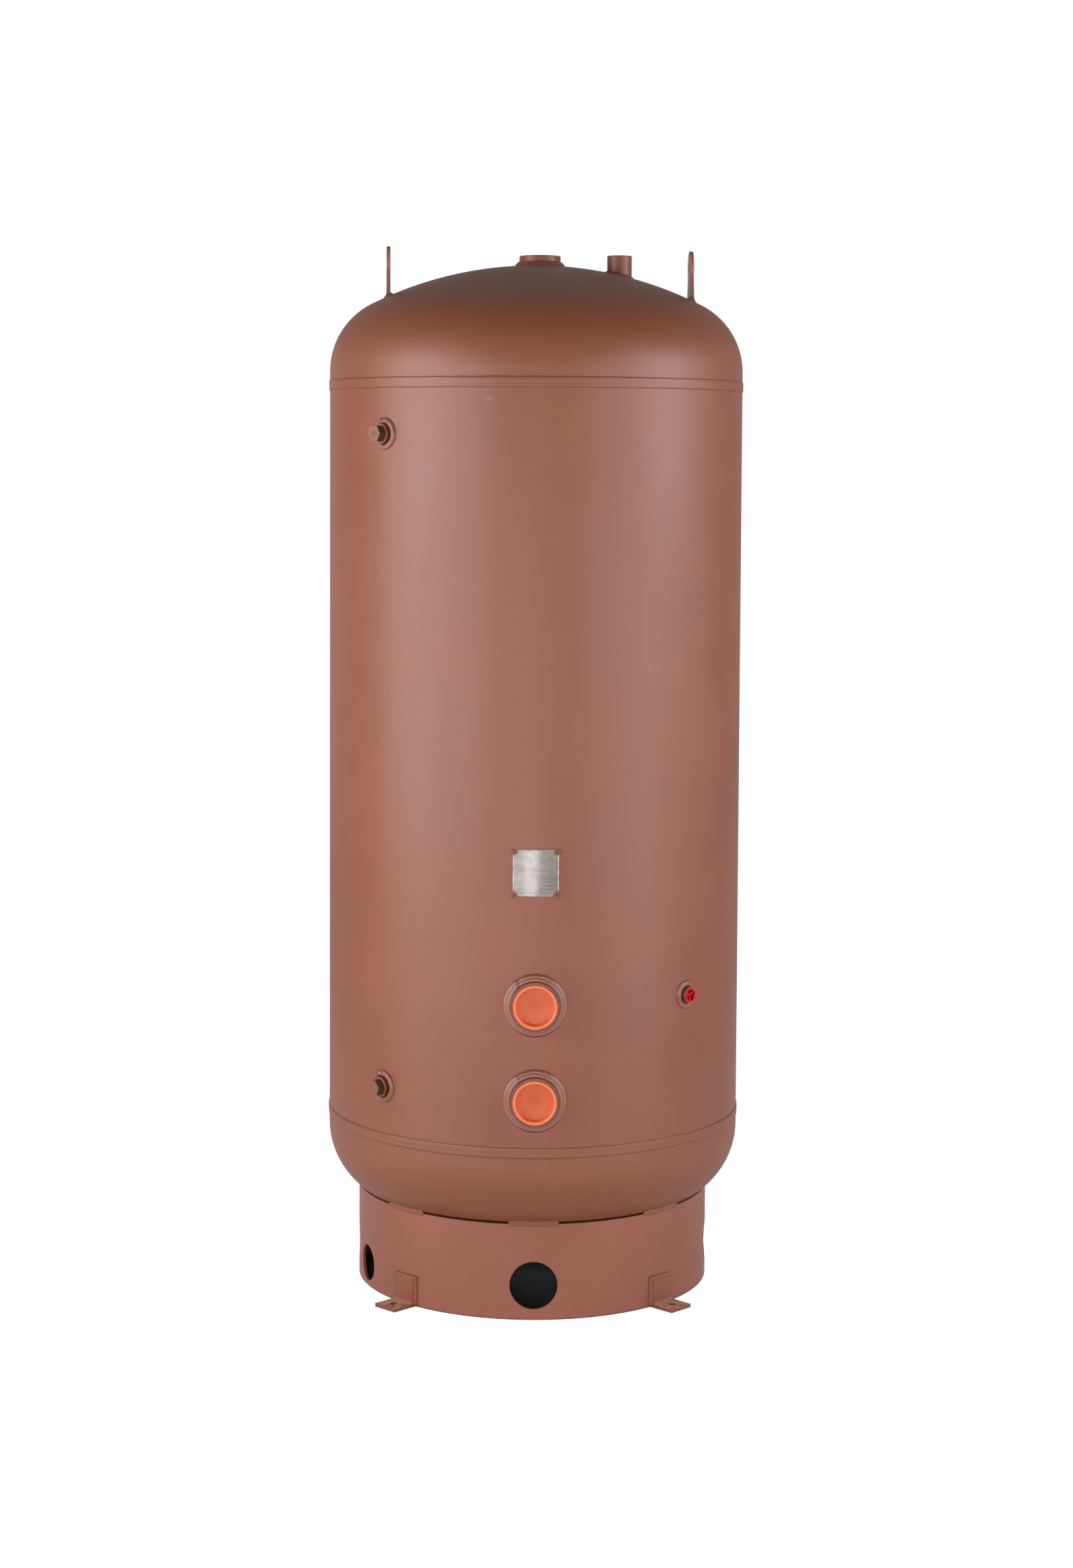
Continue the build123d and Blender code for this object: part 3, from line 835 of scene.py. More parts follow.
def thread_tree():
    """Node tree that cuts a pipe thread into a sleeve."""
    tree, given = start_tree("pipe_thread", ("Pitch", "Depth", "Run Out"))
    depth = attribute(tree, "depth")
    turns = calc(tree, "ADD", calc(tree, "DIVIDE", depth, given["Pitch"]), attribute(tree, "turn"))
    ridge = calc(tree, "PINGPONG", turns, 0.5)
    ridge = calc(tree, "MULTIPLY", calc(tree, "MULTIPLY", ridge, 2.0), given["Depth"])
    ridge = calc(tree, "MULTIPLY", ridge, spread(tree, depth, 0.0, given["Run Out"]))
    return end_tree(tree, given, scaled(tree, attribute(tree, "out", "FLOAT_VECTOR"), ridge))


pipe_thread = thread_tree()


def thread_sleeve(name, frame, bore_r, mouth):
    """Thin closed sleeve on a bore's wall, from its mouth inwards, that carries the thread."""
    around, rows = 96, 90
    points, outs, depths, turns, faces = [], [], [], [], []
    for row in range(rows + 1):
        level = thread_length * row / rows
        for i in range(around):
            a = 2 * math.pi * i / around
            facing = Vector((math.cos(a), math.sin(a), 0))
            for radius, is_inner in ((bore_r + 0.00005, 1.0), (bore_r + 0.0006, 0.0)):
                points.append(frame @ (facing * radius + Vector((0, 0, mouth - level))))
                outs.append(frame.to_3x3() @ facing * -is_inner)
                depths.append(level)
                turns.append(i / around)
    for row in range(rows):
        for i in range(around):
            k = (i + 1) % around
            a, b = row * around * 2, (row + 1) * around * 2
            faces.append((a + 2 * i, a + 2 * k, b + 2 * k, b + 2 * i))
            faces.append((a + 2 * i + 1, b + 2 * i + 1, b + 2 * k + 1, a + 2 * k + 1))
    for row, flip in ((0, False), (rows, True)):
        for i in range(around):
            k = (i + 1) % around
            a = row * around * 2
            face = (a + 2 * i, a + 2 * i + 1, a + 2 * k + 1, a + 2 * k)
            faces.append(tuple(reversed(face)) if flip else face)
    mesh = bpy.data.meshes.new(name)
    mesh.from_pydata(points, [], faces)
    for label, values in (("depth", depths), ("turn", turns)):
        layer = mesh.attributes.new(label, "FLOAT", "POINT").data
        for i, value in enumerate(values):
            layer[i].value = value
    layer = mesh.attributes.new("out", "FLOAT_VECTOR", "POINT").data
    for i, value in enumerate(outs):
        layer[i].vector = value
    outward(mesh)
    return mesh


def thread_steel():
    """Machined thread under thin primer, with bare crests."""
    material = primer("thread_primer")
    tree = material.node_tree
    shader = tree.nodes["Principled BSDF"]
    place = add_node(tree, "ShaderNodeTexCoord").outputs["Object"]
    bare = spread(tree, clouds(tree, place, 180.0, 3.0, 0.6), 0.52, 0.64)
    painted = shader.inputs["Base Color"].links[0].from_socket
    tone = blend_colour(tree, bare, painted, (0.30, 0.27, 0.24, 1))
    feed(tree, shader, {"Base Color": tone, "Metallic": calc(tree, "MULTIPLY", bare, 0.8)})
    return material


thread_primer = thread_steel()
coupling_primer = primer("coupling_primer", peel=0.00004)


def open_coupling(name, frame, wall, outline, rises, sizes, seed, **stop):
    """Dress a half coupling that stands on a head, and make the fillet and the thread in its mouth."""
    bore_r, stand, leg = sizes
    dress(name + "_coupling", coupling_primer)
    sections = collar(frame, wall, outline, leg, leg)
    lay(
        name + "_bead",
        [sections],
        rises,
        weld_primer,
        name + "_weld",
        ripple_length=even(sections, weld_pitch),
        ripple_height=0.00035,
        chevron=0.0025,
        wander=0.0007,
        wander_length=0.010,
        lumps=0.0006,
        lump_length=0.009,
        seed=seed,
        **stop,
    )
    values = {"Pitch": thread_pitch, "Depth": 0.0009, "Run Out": 0.0015, "Material": thread_primer}
    sleeve = thread_sleeve(name + "_thread", frame, bore_r, wall(0, 0) + stand - mouth_bevel)
    piece = grown(name + "_thread", sleeve, pipe_thread, values)
    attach(piece, "root")


def beside(offset):
    """Height of the top head's surface, counted from a fitting's own axis."""
    return lambda x, y: top_wall(x + offset, y)


def drain_wall(x, y):
    """Height of the bottom head's surface over a point of the upturned drain's frame."""
    return head_rise(math.hypot(x, y)) - bottom_tangent


for name, offset, radius, sizes in (
    ("top_centre", 0.0, 0.0380, (0.0285, 0.018, 0.009)),
    ("top_side", 0.147, 0.0227, (0.0150, 0.037, 0.005)),
):
    open_coupling(
        name,
        head_frame @ Matrix.Translation((offset, 0, 0)),
        beside(offset),
        round_outline(radius, 260, 75),
        rounded(13, sizes[2] * 0.14, 3.0),
        sizes,
        seed=41.0 + offset * 50,
        stop_at=0.0,
        stop_length=0.008,
        stop_height=0.0009,
    )
open_coupling(
    "drain",
    Matrix.Rotation(math.pi, 4, "X"),
    drain_wall,
    round_outline(0.0227, 200, 90),
    rounded(11, 0.0008, 3.0),
    (0.0150, 0.025, 0.005),
    seed=43.0,
)


# PORTS
# Two large half couplings on the front. Each fillet was laid in two passes, which leave a step
# half way up, and each mouth is closed with a push-in cap of orange polythene.


def radial(azimuth, height):
    """Frame on the tank's axis whose Z points out at an azimuth."""
    a = math.radians(azimuth)
    return Matrix(
        (
            (math.cos(a), 0, math.sin(a), 0),
            (math.sin(a), 0, -math.cos(a), 0),
            (0, 1, 0, height),
            (0, 0, 0, 1),
        )
    )


def shell_wall_at(x, y):
    """Distance of the shell's surface from the axis plane of a radial frame."""
    return math.sqrt(tank_r**2 - x**2)


def updown_shade(amount):
    """Mask maker for painted shade on faces that look up or down."""

    def mask(tree, place):
        up = height_of(tree, add_node(tree, "ShaderNodeNewGeometry").outputs["Normal"])
        up = ragged(tree, place, 120.0, 0.35, calc(tree, "ABSOLUTE", up))
        return spread(tree, up, 0.22, 0.80, 0.0, amount)

    return mask


def from_axis(frame, inner, outer, amount):
    """Mask maker that comes in with the distance from a frame's Z."""

    def mask(tree, place):
        away = vector_calc(tree, "SUBTRACT", place, frame.translation)
        away = vector_calc(tree, "CROSS_PRODUCT", away, frame.col[2].to_3d())
        away = ragged(tree, place, 260.0, (outer - inner) * 0.6, vector_calc(tree, "LENGTH", away))
        return spread(tree, away, inner, outer, 0.0, amount)

    return mask


def below(frame, level, amount, soft=0.0006):
    """Mask maker for what lies under a level on a frame's Z."""

    def mask(tree, place):
        rise = vector_calc(tree, "SUBTRACT", place, frame.translation)
        rise = vector_calc(tree, "DOT_PRODUCT", rise, frame.col[2].to_3d())
        rise = ragged(tree, place, 420.0, soft * 1.5, rise)
        return spread(tree, rise, level - soft, level, amount, 0.0)

    return mask


def plastic(name, colour, deep, tints, roughness=0.36):
    """Soft moulded polythene: light gets a little way into it, and its skin is faintly grained."""
    material, tree, shader, place = new_material(name)
    tone = blend_colour(tree, spread(tree, clouds(tree, place, 24.0, 3.0), 0.3, 0.7), colour, deep)
    values = {
        "Base Color": tinted(tree, place, tone, tints),
        "Roughness": roughness,
        "Subsurface Weight": 0.5,
        "Subsurface Radius": (1.0, 0.35, 0.15),
        "Subsurface Scale": 0.003,
        "Normal": bump(tree, clouds(tree, place, 900.0, 2.0), 0.00002, 0.5),
    }
    feed(tree, shader, values)
    return material


def solid(name, points, faces, material, sharp=None):
    """Mesh of a closed shape, smooth but for edges sharper than an angle in degrees."""
    mesh = bpy.data.meshes.new(name)
    mesh.from_pydata(points, [], faces)
    outward(mesh)
    mesh.materials.append(material)
    mesh.shade_smooth()
    if sharp:
        mesh.set_sharp_from_angle(angle=math.radians(sharp))
    return mesh


def stacked(name, points, steps, material, sharp=None):
    """Closed mesh of rings of points between its first and its last point."""
    faces = []
    rings = (len(points) - 2) // steps
    last = len(points) - 1
    for i in range(steps):
        k = (i + 1) % steps
        faces.append((0, 1 + k, 1 + i))
        for row in range(rings - 1):
            a, b = 1 + row * steps, 1 + (row + 1) * steps
            faces.append((a + i, a + k, b + k, b + i))
        a = 1 + (rings - 1) * steps
        faces.append((a + i, a + k, last))
    return solid(name, points, faces, material, sharp)


def turned(name, frame, outline, steps, material):
    """Closed solid of revolution about a frame's Z, from an outline that starts and ends on it."""
    points = [frame @ Vector((0, 0, outline[0][1]))]
    for radius, level in outline[1:-1]:
        for i in range(steps):
            a = 2 * math.pi * i / steps
            points.append(frame @ Vector((radius * math.cos(a), radius * math.sin(a), level)))
    points.append(frame @ Vector((0, 0, outline[-1][1])))
    return stacked(name, points, steps, material)


def placed(name, mesh, replaces=None):
    """Object of a finished mesh, riding on the tank."""
    piece = bpy.data.objects.new(name, mesh)
    bpy.context.scene.collection.objects.link(piece)
    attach(piece, "root")
    if replaces:
        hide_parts(replaces)


def arc(centre, radius, start, end, steps):
    """Points of an arc in an outline, angles in degrees."""
    made = []
    for i in range(steps + 1):
        a = math.radians(start + (end - start) * i / steps)
        made.append((centre[0] + radius * math.cos(a), centre[1] + radius * math.sin(a)))
    return made


port_r = 0.04375
port_face = tank_r + 0.0144
port_lip = port_face + 0.0056
cap_lip_r = 0.0384
cap_floor = port_lip - 0.018
cap_outline = [(0, cap_floor - 0.002), (0.0345, cap_floor - 0.002), (0.0358, cap_floor - 0.0005)]
cap_outline += [(0.0359, port_face), (cap_lip_r - 0.0008, port_face)]
cap_outline += arc((cap_lip_r - 0.0009, port_face + 0.0010), 0.0009, -80, 0, 4)
cap_outline += arc((cap_lip_r - 0.0014, port_lip - 0.0014), 0.0014, 0, 90, 7)
cap_outline += arc((cap_lip_r - 0.0027, port_lip - 0.0018), 0.0018, 100, 172, 7)
cap_outline += [(0.0339, port_lip - 0.006), (0.0337, cap_floor + 0.0022)]
cap_outline += arc((0.0337 - 0.0020, cap_floor + 0.0020), 0.0020, -5, -88, 7)
cap_outline += [(0.028, cap_floor - 0.0001), (0.018, cap_floor - 0.0006), (0.008, cap_floor - 0.0011)]
cap_outline += [(0.003, cap_floor - 0.0013), (0, cap_floor - 0.0013)]
chip_angles = (-0.19, -0.06, 0.03, 0.09, 0.16, 0.24, 0.33)
edge_shade = (0.075, 0.024, 0.011, 1)
port_sheen_thick = (0.365, 0.136, 0.094, 1)
port_sheen_thin = (0.400, 0.152, 0.106, 1)
for name, above_seam, start, scuff_at, seed in (
    ("upper", 0.26115, 106, -0.0135, 51.0),
    ("lower", 0.09315, 102, 0.011, 57.0),
):
    here = radial(0, bottom_seam + above_seam)
    # The coupling's side and its faces that look up or down are darkened as painted shade.
    marks = [(updown_shade(0.6), edge_shade), (from_axis(here, 0.0412, 0.0426, 0.75), edge_shade)]
    dress(name + "_port_coupling", primer(name + "_port_coupling", marks))
    # The bead's paler, pinker primer is a painted sheen of its flanks, and its faces that look up or down
    # are darkened as painted shade.
    marks = [(toe_shade_lines(0.55, 0.86), (0.120, 0.034, 0.017, 1)), (updown_shade(0.85), (0.125, 0.036, 0.018, 1))]
    sections = collar(here, shell_wall_at, round_outline(port_r, 560, start), 0.0124, 0.0078)
    lay(
        name + "_port_bead",
        [sections],
        rounded(25, 0.0017, 3.4),
        primer(name + "_port_primer", marks, thick=port_sheen_thick, thin=port_sheen_thin, matt=0.31),
        name + "_port_weld",
        ripple_length=even(sections, 0.0032),
        ripple_height=0.00013,
        chevron=0.0040,
        groove_at=0.10,
        groove_width=0.17,
        groove_depth=0.0022,
        wander=0.0009,
        wander_length=0.016,
        lumps=0.00055,
        lump_length=0.010,
        stop_at=0.0200,
        stop_length=0.0060,
        stop_height=0.0013,
        seed=seed,
    )
    middle = here @ Vector((0, 0, cap_floor))
    scuff = here @ Vector((scuff_at, 0.002, cap_floor))
    # The cap's floor and the foot of its wall are a deeper orange: painted shade of its recess.
    marks = [
        (below(here, cap_floor + 0.0040, 0.95, 0.0015), (0.780, 0.168, 0.055, 1)),
        (spot(middle, 0.002, 0.022, 0.50), (0.66, 0.115, 0.034, 1)),
        (spot(scuff, 0.0004, 0.0024, 0.65, uneven=0.006), (0.85, 0.42, 0.30, 1)),
    ]
    for t in chip_angles:
        chip = here @ Vector((0.0385 * math.sin(t), -0.0385 * math.cos(t), port_lip - 0.0015))
        marks.append((spot(chip, 0.0006, 0.0022, 0.95, uneven=0.004), (0.95, 0.62, 0.52, 1)))
    orange = plastic(name + "_cap_orange", (0.95, 0.262, 0.100, 1), (0.92, 0.235, 0.088, 1), marks)
    cap = turned(name + "_cap", here, cap_outline, 160, orange)
    placed(name + "_cap", cap, name + "_port_cap")


# GAUGE PLUGS
# Half couplings on the left, stopped with forged hex plugs that were painted in place. The beads
# round them are fat and hand-laid, with a notch where each starts and stops.
gauge_face = tank_r + 0.0103
plug_top = gauge_face + 0.0148
hex_across_flats = 0.0274
hex_corner_r = 0.01585
hex_steps = 240


def hexagon(turn):
    """Radii of the plug's hexagon, with eased corners."""
    radii = []
    for i in range(hex_steps):
        a = 2 * math.pi * i / hex_steps - math.radians(turn)
        off = (a + math.radians(30)) % math.radians(60) - math.radians(30)
        flat = hex_across_flats / 2 / math.cos(math.radians(30) - abs(off))
        radii.append(-math.log(math.exp(-flat * 6000) + math.exp(-hex_corner_r * 6000)) / 6000)
    return radii


def hex_plug(name, frame, turn, material):
    """Hex head with a chamfered crown, and a forged ring and pip in its middle."""
    sides = [(gauge_face - 0.0002, 0.01640), (gauge_face + 0.0004, 0.0170), (plug_top - 0.0016, 0.0170)]
    sides += [(plug_top - 0.0009, 0.01600), (plug_top - 0.0003, 0.01560), (plug_top, 0.01515)]
    rings = [(0.0125, 0.0001), (0.0075, 0.0001), (0.0060, 0.0), (0.0053, -0.0006), (0.0044, -0.0011)]
    rings += [(0.0034, -0.0011), (0.0026, -0.0006), (0.0016, -0.0002)]
    rows = [([min(r, limit) for r in hexagon(turn)], level) for level, limit in sides]
    rows += [([radius] * hex_steps, plug_top + rise) for radius, rise in rings]
    points = [frame @ Vector((0, 0, gauge_face - 0.0002))]
    for radii, level in rows:
        for i, r in enumerate(radii):
            a = 2 * math.pi * i / hex_steps
            points.append(frame @ Vector((r * math.cos(a), r * math.sin(a), level)))
    points.append(frame @ Vector((0, 0, plug_top - 0.0001)))
    return stacked(name, points, hex_steps, material, sharp=24)


# The dark toe lines of these beads are painted crease shade.
gauge_bead_primer = primer(
    "gauge_bead_primer",
    [(toe_shade_lines(0.95, 0.66), (0.150, 0.048, 0.026, 1))],
    thick=(0.300, 0.100, 0.064, 1),
    thin=(0.330, 0.115, 0.075, 1),
    matt=0.33,
)
for name, level, turn, notch, seed in (
    ("upper", top_seam - 0.08985, 0.0, 0.0028, 61.0),
    ("lower", bottom_seam + 0.09315, 12.0, 0.0009, 67.0),
):
    here = radial(-45, level)
    # The coupling's side is darkened as painted shade.
    side_shade = [(from_axis(here, 0.0181, 0.0185, 0.9), (0.050, 0.018, 0.009, 1))]
    dress(name + "_gauge_coupling", primer(name + "_gauge_coupling", side_shade))
    sections = collar(here, shell_wall_at, round_outline(0.0185, 420, 84), 0.0110, 0.0034)
    lay(
        name + "_gauge_bead",
        [sections],
        rounded(21, 0.0036, 2.4),
        gauge_bead_primer,
        name + "_gauge_weld",
        ripple_length=even(sections, 0.0034),
        ripple_height=0.00010,
        chevron=0.0035,
        wander=0.0012,
        wander_length=0.012,
        lumps=0.0012,
        lump_length=0.014,
        stop_at=0.003,
        stop_length=0.0042,
        stop_height=-notch,
        seed=seed,
    )
    # The plug's sides are darkened: bare forging scale, and painted shade as well.
    side_scale_and_shade = [(below(here, gauge_face + 0.0136, 0.92), (0.046, 0.024, 0.015, 1))]
    plug_primer = primer(name + "_plug_primer", side_scale_and_shade, peel=0.00012)
    plug = hex_plug(name + "_hex_plug", here, turn, plug_primer)
    placed(name + "_hex_plug", plug, name + "_gauge_plug")


# SIDE PLUG
# Small half coupling on the right, with a push-in plug of red polythene that has three grip ribs.
# Its bead is finer than the gauge couplings', laid in two passes.
side_face = tank_r + 0.0097
side_rim = side_face + 0.0024
side_frame = radial(45, bottom_seam + 0.26015)
# The coupling's side is darkened as painted shade.
side_shade = [(from_axis(side_frame, 0.0145, 0.0150, 0.9), (0.060, 0.022, 0.011, 1))]
dress("side_coupling", primer("side_coupling", side_shade))
sections = collar(side_frame, shell_wall_at, round_outline(0.0150, 380, 96), 0.0110, 0.0030)
lay(
    "side_coupling_bead",
    [sections],
    rounded(23, 0.0026, 2.8),
    gauge_bead_primer,
    "side_coupling_weld",
    ripple_length=even(sections, 0.0030),
    ripple_height=0.00012,
    chevron=0.0035,
    groove_at=0.30,
    groove_width=0.20,
    groove_depth=0.0012,
    wander=0.0008,
    wander_length=0.009,
    lumps=0.0006,
    lump_length=0.008,
    stop_at=0.0,
    stop_length=0.005,
    stop_height=0.0013,
    seed=71.0,
)
# The plug's deep inside is darkened as painted shade.
deep_inside_shade = [(below(side_frame, side_face - 0.0040, 0.7, 0.004), (0.30, 0.001, 0.004, 1))]
red = plastic("side_plug_red", (0.78, 0.012, 0.016, 1), (0.70, 0.008, 0.012, 1), deep_inside_shade, 0.30)
outline = [(0, side_rim - 0.0155), (0.0108, side_rim - 0.0155), (0.0114, side_rim - 0.0149)]
outline += [(0.0115, side_face), (0.01245, side_face)] + arc((0.01235, side_rim - 0.0007), 0.0006, 0, 90, 5)
outline += arc((0.01105, side_rim - 0.0008), 0.0008, 90, 180, 5) + [(0.01020, side_rim - 0.0125)]
outline += arc((0.0092, side_rim - 0.0130), 0.0010, 0, -90, 4) + [(0, side_rim - 0.0140)]
cup = turned("side_plug_cup", side_frame, outline, 128, red)
placed("side_plug_cup", cup, "side_plug")


def ribs(frame, reach, low, high, half):
    """Three ribs that meet in the middle, with rounded crests."""
    points, faces = [], []
    section = [(-half * 1.15, low), (half * 1.15, low)] + arc((0, high - half), half, 0, 180, 8)
    n = len(section)
    for azimuth in (30, 150, 270):
        rib_frame = frame @ Matrix.Rotation(math.radians(azimuth), 4, "Z")
        first = len(points)
        for x in (0.0, reach):
            points += [rib_frame @ Vector((x, y, level)) for y, level in section]
        for i in range(n):
            j = (i + 1) % n
            faces.append((first + i, first + n + i, first + n + j, first + j))
        faces.append(tuple(range(first, first + n)))
        faces.append(tuple(reversed(range(first + n, first + 2 * n))))
    return solid("side_plug_ribs", points, faces, red, sharp=40)


rib_mesh = ribs(side_frame, 0.0108, side_rim - 0.0142, side_rim - 0.0026, 0.0012)
placed("side_plug_ribs", rib_mesh)


# NAMEPLATE
# Curved stainless plate, left bare but for ruled lines. Its raised edges are a brighter steel, a painted
# highlight, and a blob of weld in the hollow of each corner holds it.
plate_level = bottom_seam + 0.49315
plate_half = (0.0400, 0.0405)
plate_out = 0.0015
plate_corners = [(sx, sz) for sx in (-1, 1) for sz in (-1, 1)]


def brushed_steel():
    """Stainless sheet brushed from side to side, dulled in patches and tinted by heat near the welds."""
    material, tree, shader, place = new_material("nameplate_steel")
    strokes = vector_calc(tree, "MULTIPLY", place, (60.0, 60.0, 2600.0))
    strokes = clouds(tree, strokes, 1.0, 3.0, 0.6)
    patches = spread(tree, clouds(tree, place, 42.0, 4.0, 0.62), 0.38, 0.66)
    tone = blend_colour(tree, patches, (0.300, 0.278, 0.262, 1), (0.255, 0.235, 0.220, 1))
    tone = blend_colour(tree, spread(tree, strokes, 0.35, 0.7, 0.0, 0.25), tone, (0.33, 0.31, 0.295, 1))
    heat = None
    for sx, sz in plate_corners:
        x = sx * plate_half[0]
        corner = Vector((x, -math.sqrt(tank_r**2 - x**2), plate_level + sz * plate_half[1]))
        near = spot(corner, 0.0078, 0.0125, 0.9, uneven=0.003)(tree, place)
        heat = near if heat is None else calc(tree, "MAXIMUM", heat, near)
    waves = calc(tree, "MULTIPLY_ADD", clouds(tree, place, 26.0, 2.0), 1.6, strokes)
    around = add_node(tree, "ShaderNodeTangent", direction_type="RADIAL", axis="Z").outputs[0]
    values = {
        "Base Color": blend_colour(tree, heat, tone, (0.17, 0.115, 0.045, 1)),
        "Metallic": 1.0,
        "Roughness": spread(tree, patches, 0.0, 1.0, 0.25, 0.28, "LINEAR"),
        "Anisotropic": 0.9,
        "Anisotropic Rotation": 0.25,
        "Tangent": around,
        "Normal": bump(tree, waves, 0.00001, 0.8),
    }
    feed(tree, shader, values)
    return material


def edge_highlight_steel():
    """Bright edge of the plate, a lighter steel that paints the highlight along its raised rim."""
    material, tree, shader, place = new_material("nameplate_edge")
    worn = spread(tree, clouds(tree, place, 160.0, 3.0, 0.6), 0.35, 0.62)
    tone = blend_colour(tree, worn, (0.80, 0.72, 0.66, 1), (0.42, 0.34, 0.28, 1))
    feed(tree, shader, {"Base Color": tone, "Metallic": 0.6, "Roughness": 0.42})
    return material


def on_plate(point, out):
    """Place on the plate, or over it, of a point counted from its middle."""
    return Vector((point.x, -math.sqrt((tank_r + out) ** 2 - point.x**2), plate_level + point.y))


def strip(start, end, half_mm):
    """Straight rounded ridge on the plate, between points in millimetres from its middle."""
    sections = []
    start, end = Vector(start) / 1000, Vector(end) / 1000
    count = max(1, round((end - start).length / 0.001))
    ahead = (end - start).normalized()
    across = Vector((-ahead.y, ahead.x)) * half_mm / 1000
    for i in range(count + 1):
        p = start.lerp(end, i / count)
        low, high = on_plate(p - across, plate_out), on_plate(p + across, plate_out)
        scale = 0.1 + 0.9 * min(1.0, min(i, count - i) / 2)
        sections.append((low, high, on_plate(p, plate_out - 0.0003), i / 1000, scale))
    return sections


def plate_piece(name, strips, rise, material):
    """Ridges of the plate as one piece."""
    mesh = bead_mesh(name, strips, rounded(7, rise, 2.0), closed=False, sink=0.00005)
    mesh.materials.append(material)
    mesh.shade_smooth()
    placed(name, mesh)


steel = brushed_steel()
dress("nameplate", steel)
rules = [(4.2, -2.0, 24.0), (-9.0, 6.0, 36.0), (-15.0, 4.0, 36.0), (-21.5, 8.0, 36.0)]
rules += [(-28.2, 6.0, 33.0), (-34.0, 4.0, 33.0), (-34.6, -32.0, 2.0), (4.0, -33.0, -14.0)]
ruled = [strip((low, level), (high, level), 0.28) for level, low, high in rules]
plate_piece("nameplate_ridges", ruled, 0.00035, steel)
edges = [strip((x, -32.6), (x, 32.6), 0.6) for x in (-39.3, 39.3)]
edges += [strip((-32.0, level), (32.0, level), 0.45) for level in (-39.6, 39.6)]
plate_piece("nameplate_edges", edges, 0.00045, edge_highlight_steel())

tack_steps = 24
tack_runs = []
for sx, sz in plate_corners:
    x = sx * (plate_half[0] - 0.0002)
    level = plate_level + sz * (plate_half[1] - 0.0012) - 0.0012
    here = radial(math.degrees(math.asin(x / tank_r)), level)
    run = []
    for i in range(tack_steps + 1):
        u = -0.0044 + 0.0088 * i / tack_steps
        half = 0.0041 * math.sqrt(max(0.02, 1 - (u / 0.0046) ** 2))
        out = shell_wall_at(u, 0)
        low, high = here @ Vector((u, -half, out)), here @ Vector((u, half, out))
        run.append((low, high, here @ Vector((u, 0, out - 0.0006)), i * 0.0004 + sx + sz * 3, 1.0))
    tack_runs.append(run)
lay(
    "nameplate_tack_beads",
    tack_runs,
    rounded(11, 0.0026, 2.2),
    weld_primer,
    "nameplate_tacks",
    closed=False,
    ripple_length=0.0022,
    ripple_height=0.0001,
    wander=0.0006,
    wander_length=0.004,
    lumps=0.0010,
    lump_length=0.0035,
    seed=81.0,
)


# FLOOR, LIGHT AND CAMERA
# White studio floor that keeps a soft contact shadow, soft lamps round the front and sides, and
# weak ones behind that rim the edges. The camera stands where the photographer stood.
floor_half = 30.0
ring_inside = 0.3226
mirrored = 0.3
corners = [(-floor_half, -floor_half, 0), (floor_half, -floor_half, 0)]
corners += [(floor_half, floor_half, 0), (-floor_half, floor_half, 0)]
floor_mesh = bpy.data.meshes.new("floor")
floor_mesh.from_pydata(corners, [], [(0, 1, 2, 3)])
floor = bpy.data.objects.new("floor", floor_mesh)
bpy.context.scene.collection.objects.link(floor)
floor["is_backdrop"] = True


def seen_white(tree):
    """One for what the camera sees straight on, and less for what it sees in a shiny surface."""
    rays = add_node(tree, "ShaderNodeLightPath").outputs
    second = calc(tree, "MAXIMUM", rays["Is Glossy Ray"], rays["Is Transmission Ray"])
    return calc(tree, "MAXIMUM", rays["Is Camera Ray"], calc(tree, "MULTIPLY", second, mirrored))


floor_white, tree, shader, place = new_material("floor_white")
away = vector_calc(tree, "LENGTH", place)
outside = calc(tree, "GREATER_THAN", away, ring_inside)
# Inside the ring the floor is painted dark as shade, but for a painted pool of light where the front lamps
# shine through the front hole.
under = vector_calc(tree, "DISTANCE", place, (0.0, -0.17, 0.0))
light_pool_and_shade = blend_colour(tree, spread(tree, under, 0.10, 0.24), (0.80, 0.86, 0.86, 1), (0.12, 0.115, 0.11, 1))
glow = calc(tree, "MULTIPLY", spread(tree, away, 0.5, 3.0, 0.80, 1.0), outside)
floor_values = {
    "Base Color": blend_colour(tree, outside, light_pool_and_shade, (0.8, 0.8, 0.8, 1)),
    "Roughness": 0.9,
    "Emission Color": (1, 1, 1, 1),
    "Emission Strength": calc(tree, "MULTIPLY", glow, seen_white(tree)),
}
feed(tree, shader, floor_values)
floor_mesh.materials.append(floor_white)

world = bpy.data.worlds.new("studio")
bpy.context.scene.world = world
world.use_nodes = True
tree = world.node_tree
strength = spread(tree, seen_white(tree), 0.0, 1.0, 0.030, 1.0, "LINEAR")
feed(tree, tree.nodes["Background"], {"Color": (1, 1, 1, 1), "Strength": strength})


def softbox(name, azimuth, distance, height, width, tall, watts):
    """Rectangular lamp at an azimuth, facing the tank's axis at its own height."""
    a = math.radians(azimuth)
    data = bpy.data.lights.new(name, "AREA")
    data.shape = "RECTANGLE"
    data.size = width
    data.size_y = tall
    data.energy = watts
    lamp = bpy.data.objects.new(name, data)
    bpy.context.scene.collection.objects.link(lamp)
    place = Vector((math.sin(a) * distance, -math.cos(a) * distance, height))
    lamp.rotation_mode = "QUATERNION"
    lamp.rotation_quaternion = (Vector((0, 0, height)) - place).to_track_quat("-Z", "Y")
    lamp.location = place
    lamp.visible_camera = False


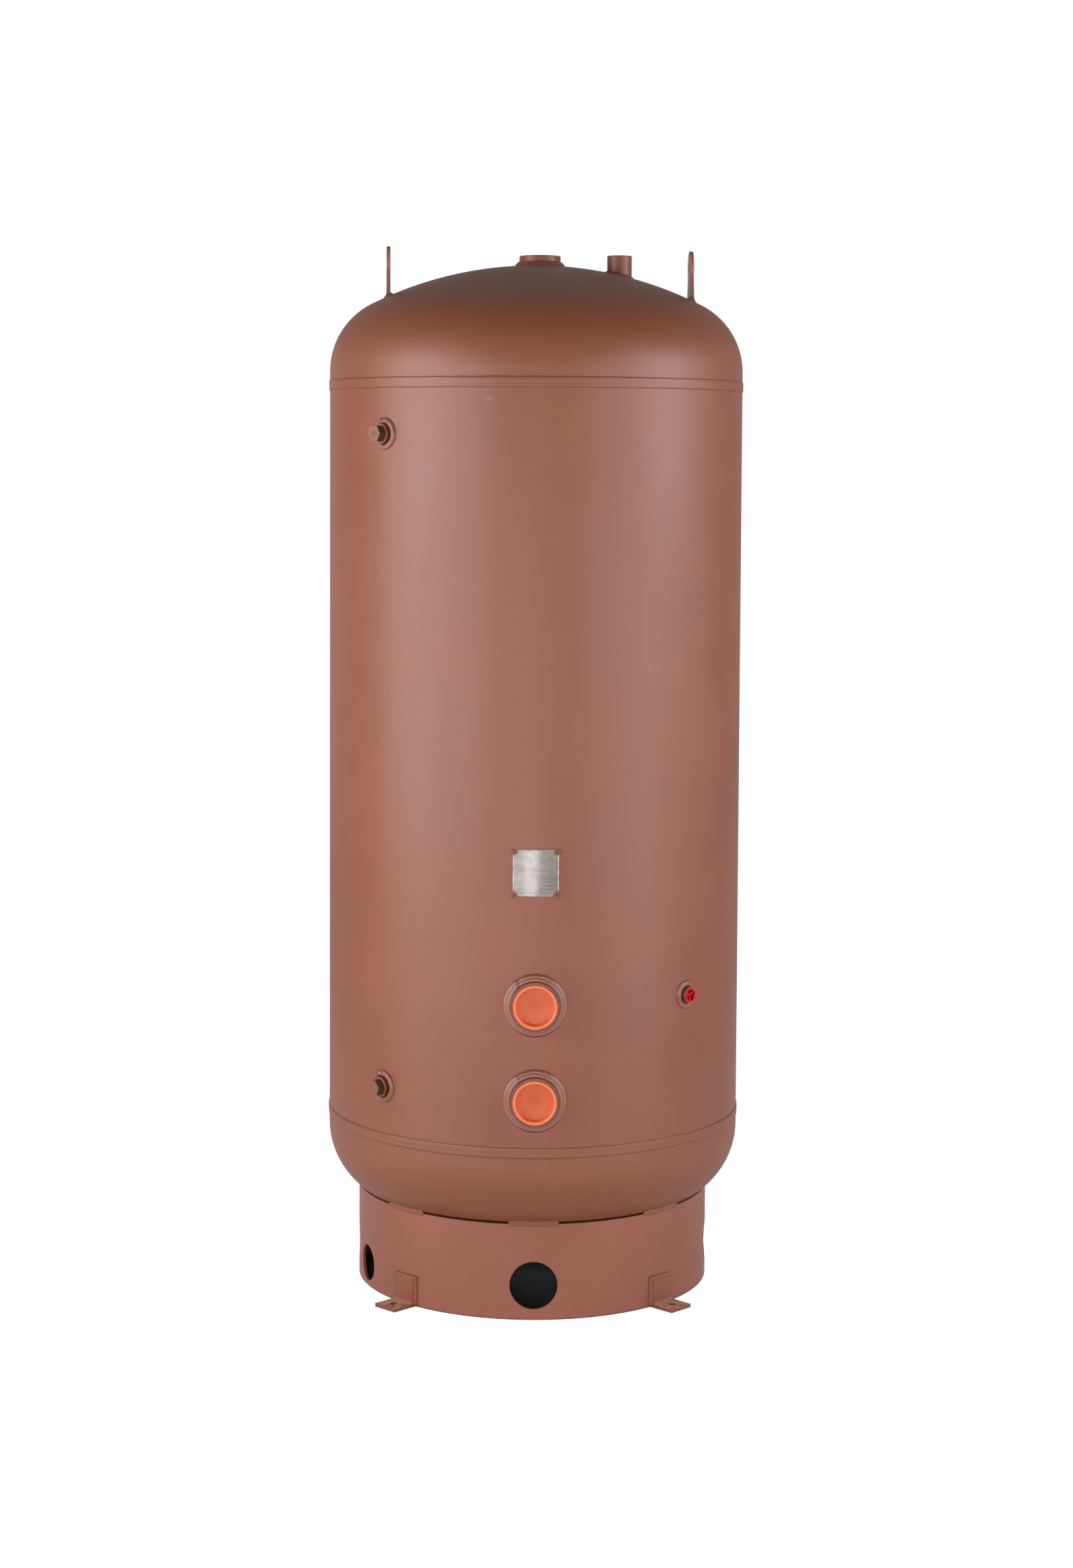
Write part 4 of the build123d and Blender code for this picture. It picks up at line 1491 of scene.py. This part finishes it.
softbox("left_upper_lamp", -58, 2.6, 1.90, 1.1, 1.0, 19.3)
softbox("left_lower_lamp", -58, 2.6, 0.70, 1.1, 1.0, 10.5)
softbox("left_rear_lamp", -75, 2.6, 1.45, 1.1, 1.9, 16.6)
softbox("right_near_lamp", 58, 2.6, 1.90, 1.1, 1.0, 9.6)
softbox("right_far_lamp", 72, 2.6, 1.90, 1.1, 1.0, 14.8)
softbox("right_lower_lamp", 58, 2.6, 0.70, 1.1, 1.0, 10.8)
softbox("right_rear_lamp", 90, 2.6, 1.45, 1.1, 1.9, 6.5)
softbox("front_left_lamp", -35, 5.2, 1.10, 1.6, 1.9, 50.3)
softbox("front_right_lamp", 35, 5.2, 1.10, 1.6, 1.9, 35.6)
softbox("front_low_left_lamp", -11.2, 5.0, 0.70, 1.0, 1.0, 12.5)
softbox("front_low_middle_lamp", -1.9, 5.0, 0.70, 0.58, 1.0, 14.4)
softbox("front_low_right_lamp", 9.0, 5.0, 0.70, 1.34, 1.0, 7.4)
softbox("back_left_lamp", -143, 2.8, 1.35, 1.3, 1.6, 1.3)
softbox("back_right_lamp", 143, 2.8, 1.20, 1.3, 1.9, 0.2)
softbox("back_lamp", 180, 2.8, 1.20, 1.4, 1.9, 7.0)
softbox("back_top_lamp", 180, 3.2, 2.55, 3.0, 0.7, 0.5)

camera_data = bpy.data.cameras.new("camera")
camera = bpy.data.objects.new("camera", camera_data)
bpy.context.scene.collection.objects.link(camera)
bpy.context.scene.camera = camera
yaw = math.radians(-0.5385)
pitch = math.radians(3.4094)
roll = math.radians(0.2910)
right = Vector((math.cos(yaw), math.sin(yaw), 0))
ahead = Vector((-math.sin(yaw), math.cos(yaw), 0))
forward = ahead * math.cos(pitch) - Vector((0, 0, math.sin(pitch)))
up = right.cross(forward)
camera_right = right * math.cos(roll) + up * math.sin(roll)
camera_up = up * math.cos(roll) - right * math.sin(roll)
camera_place = Matrix((camera_right, camera_up, -forward)).transposed().to_4x4()
camera_place.translation = Vector((-0.0461, -5.1700, 1.5311))
camera.matrix_world = camera_place
camera_data.sensor_width = 36.0
camera_data.lens = 63.866
camera_data.shift_y = -0.10457
camera_data.clip_start = 0.05
camera_data.clip_end = 100

bpy.context.scene.view_settings.view_transform = "Standard"
low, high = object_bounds()
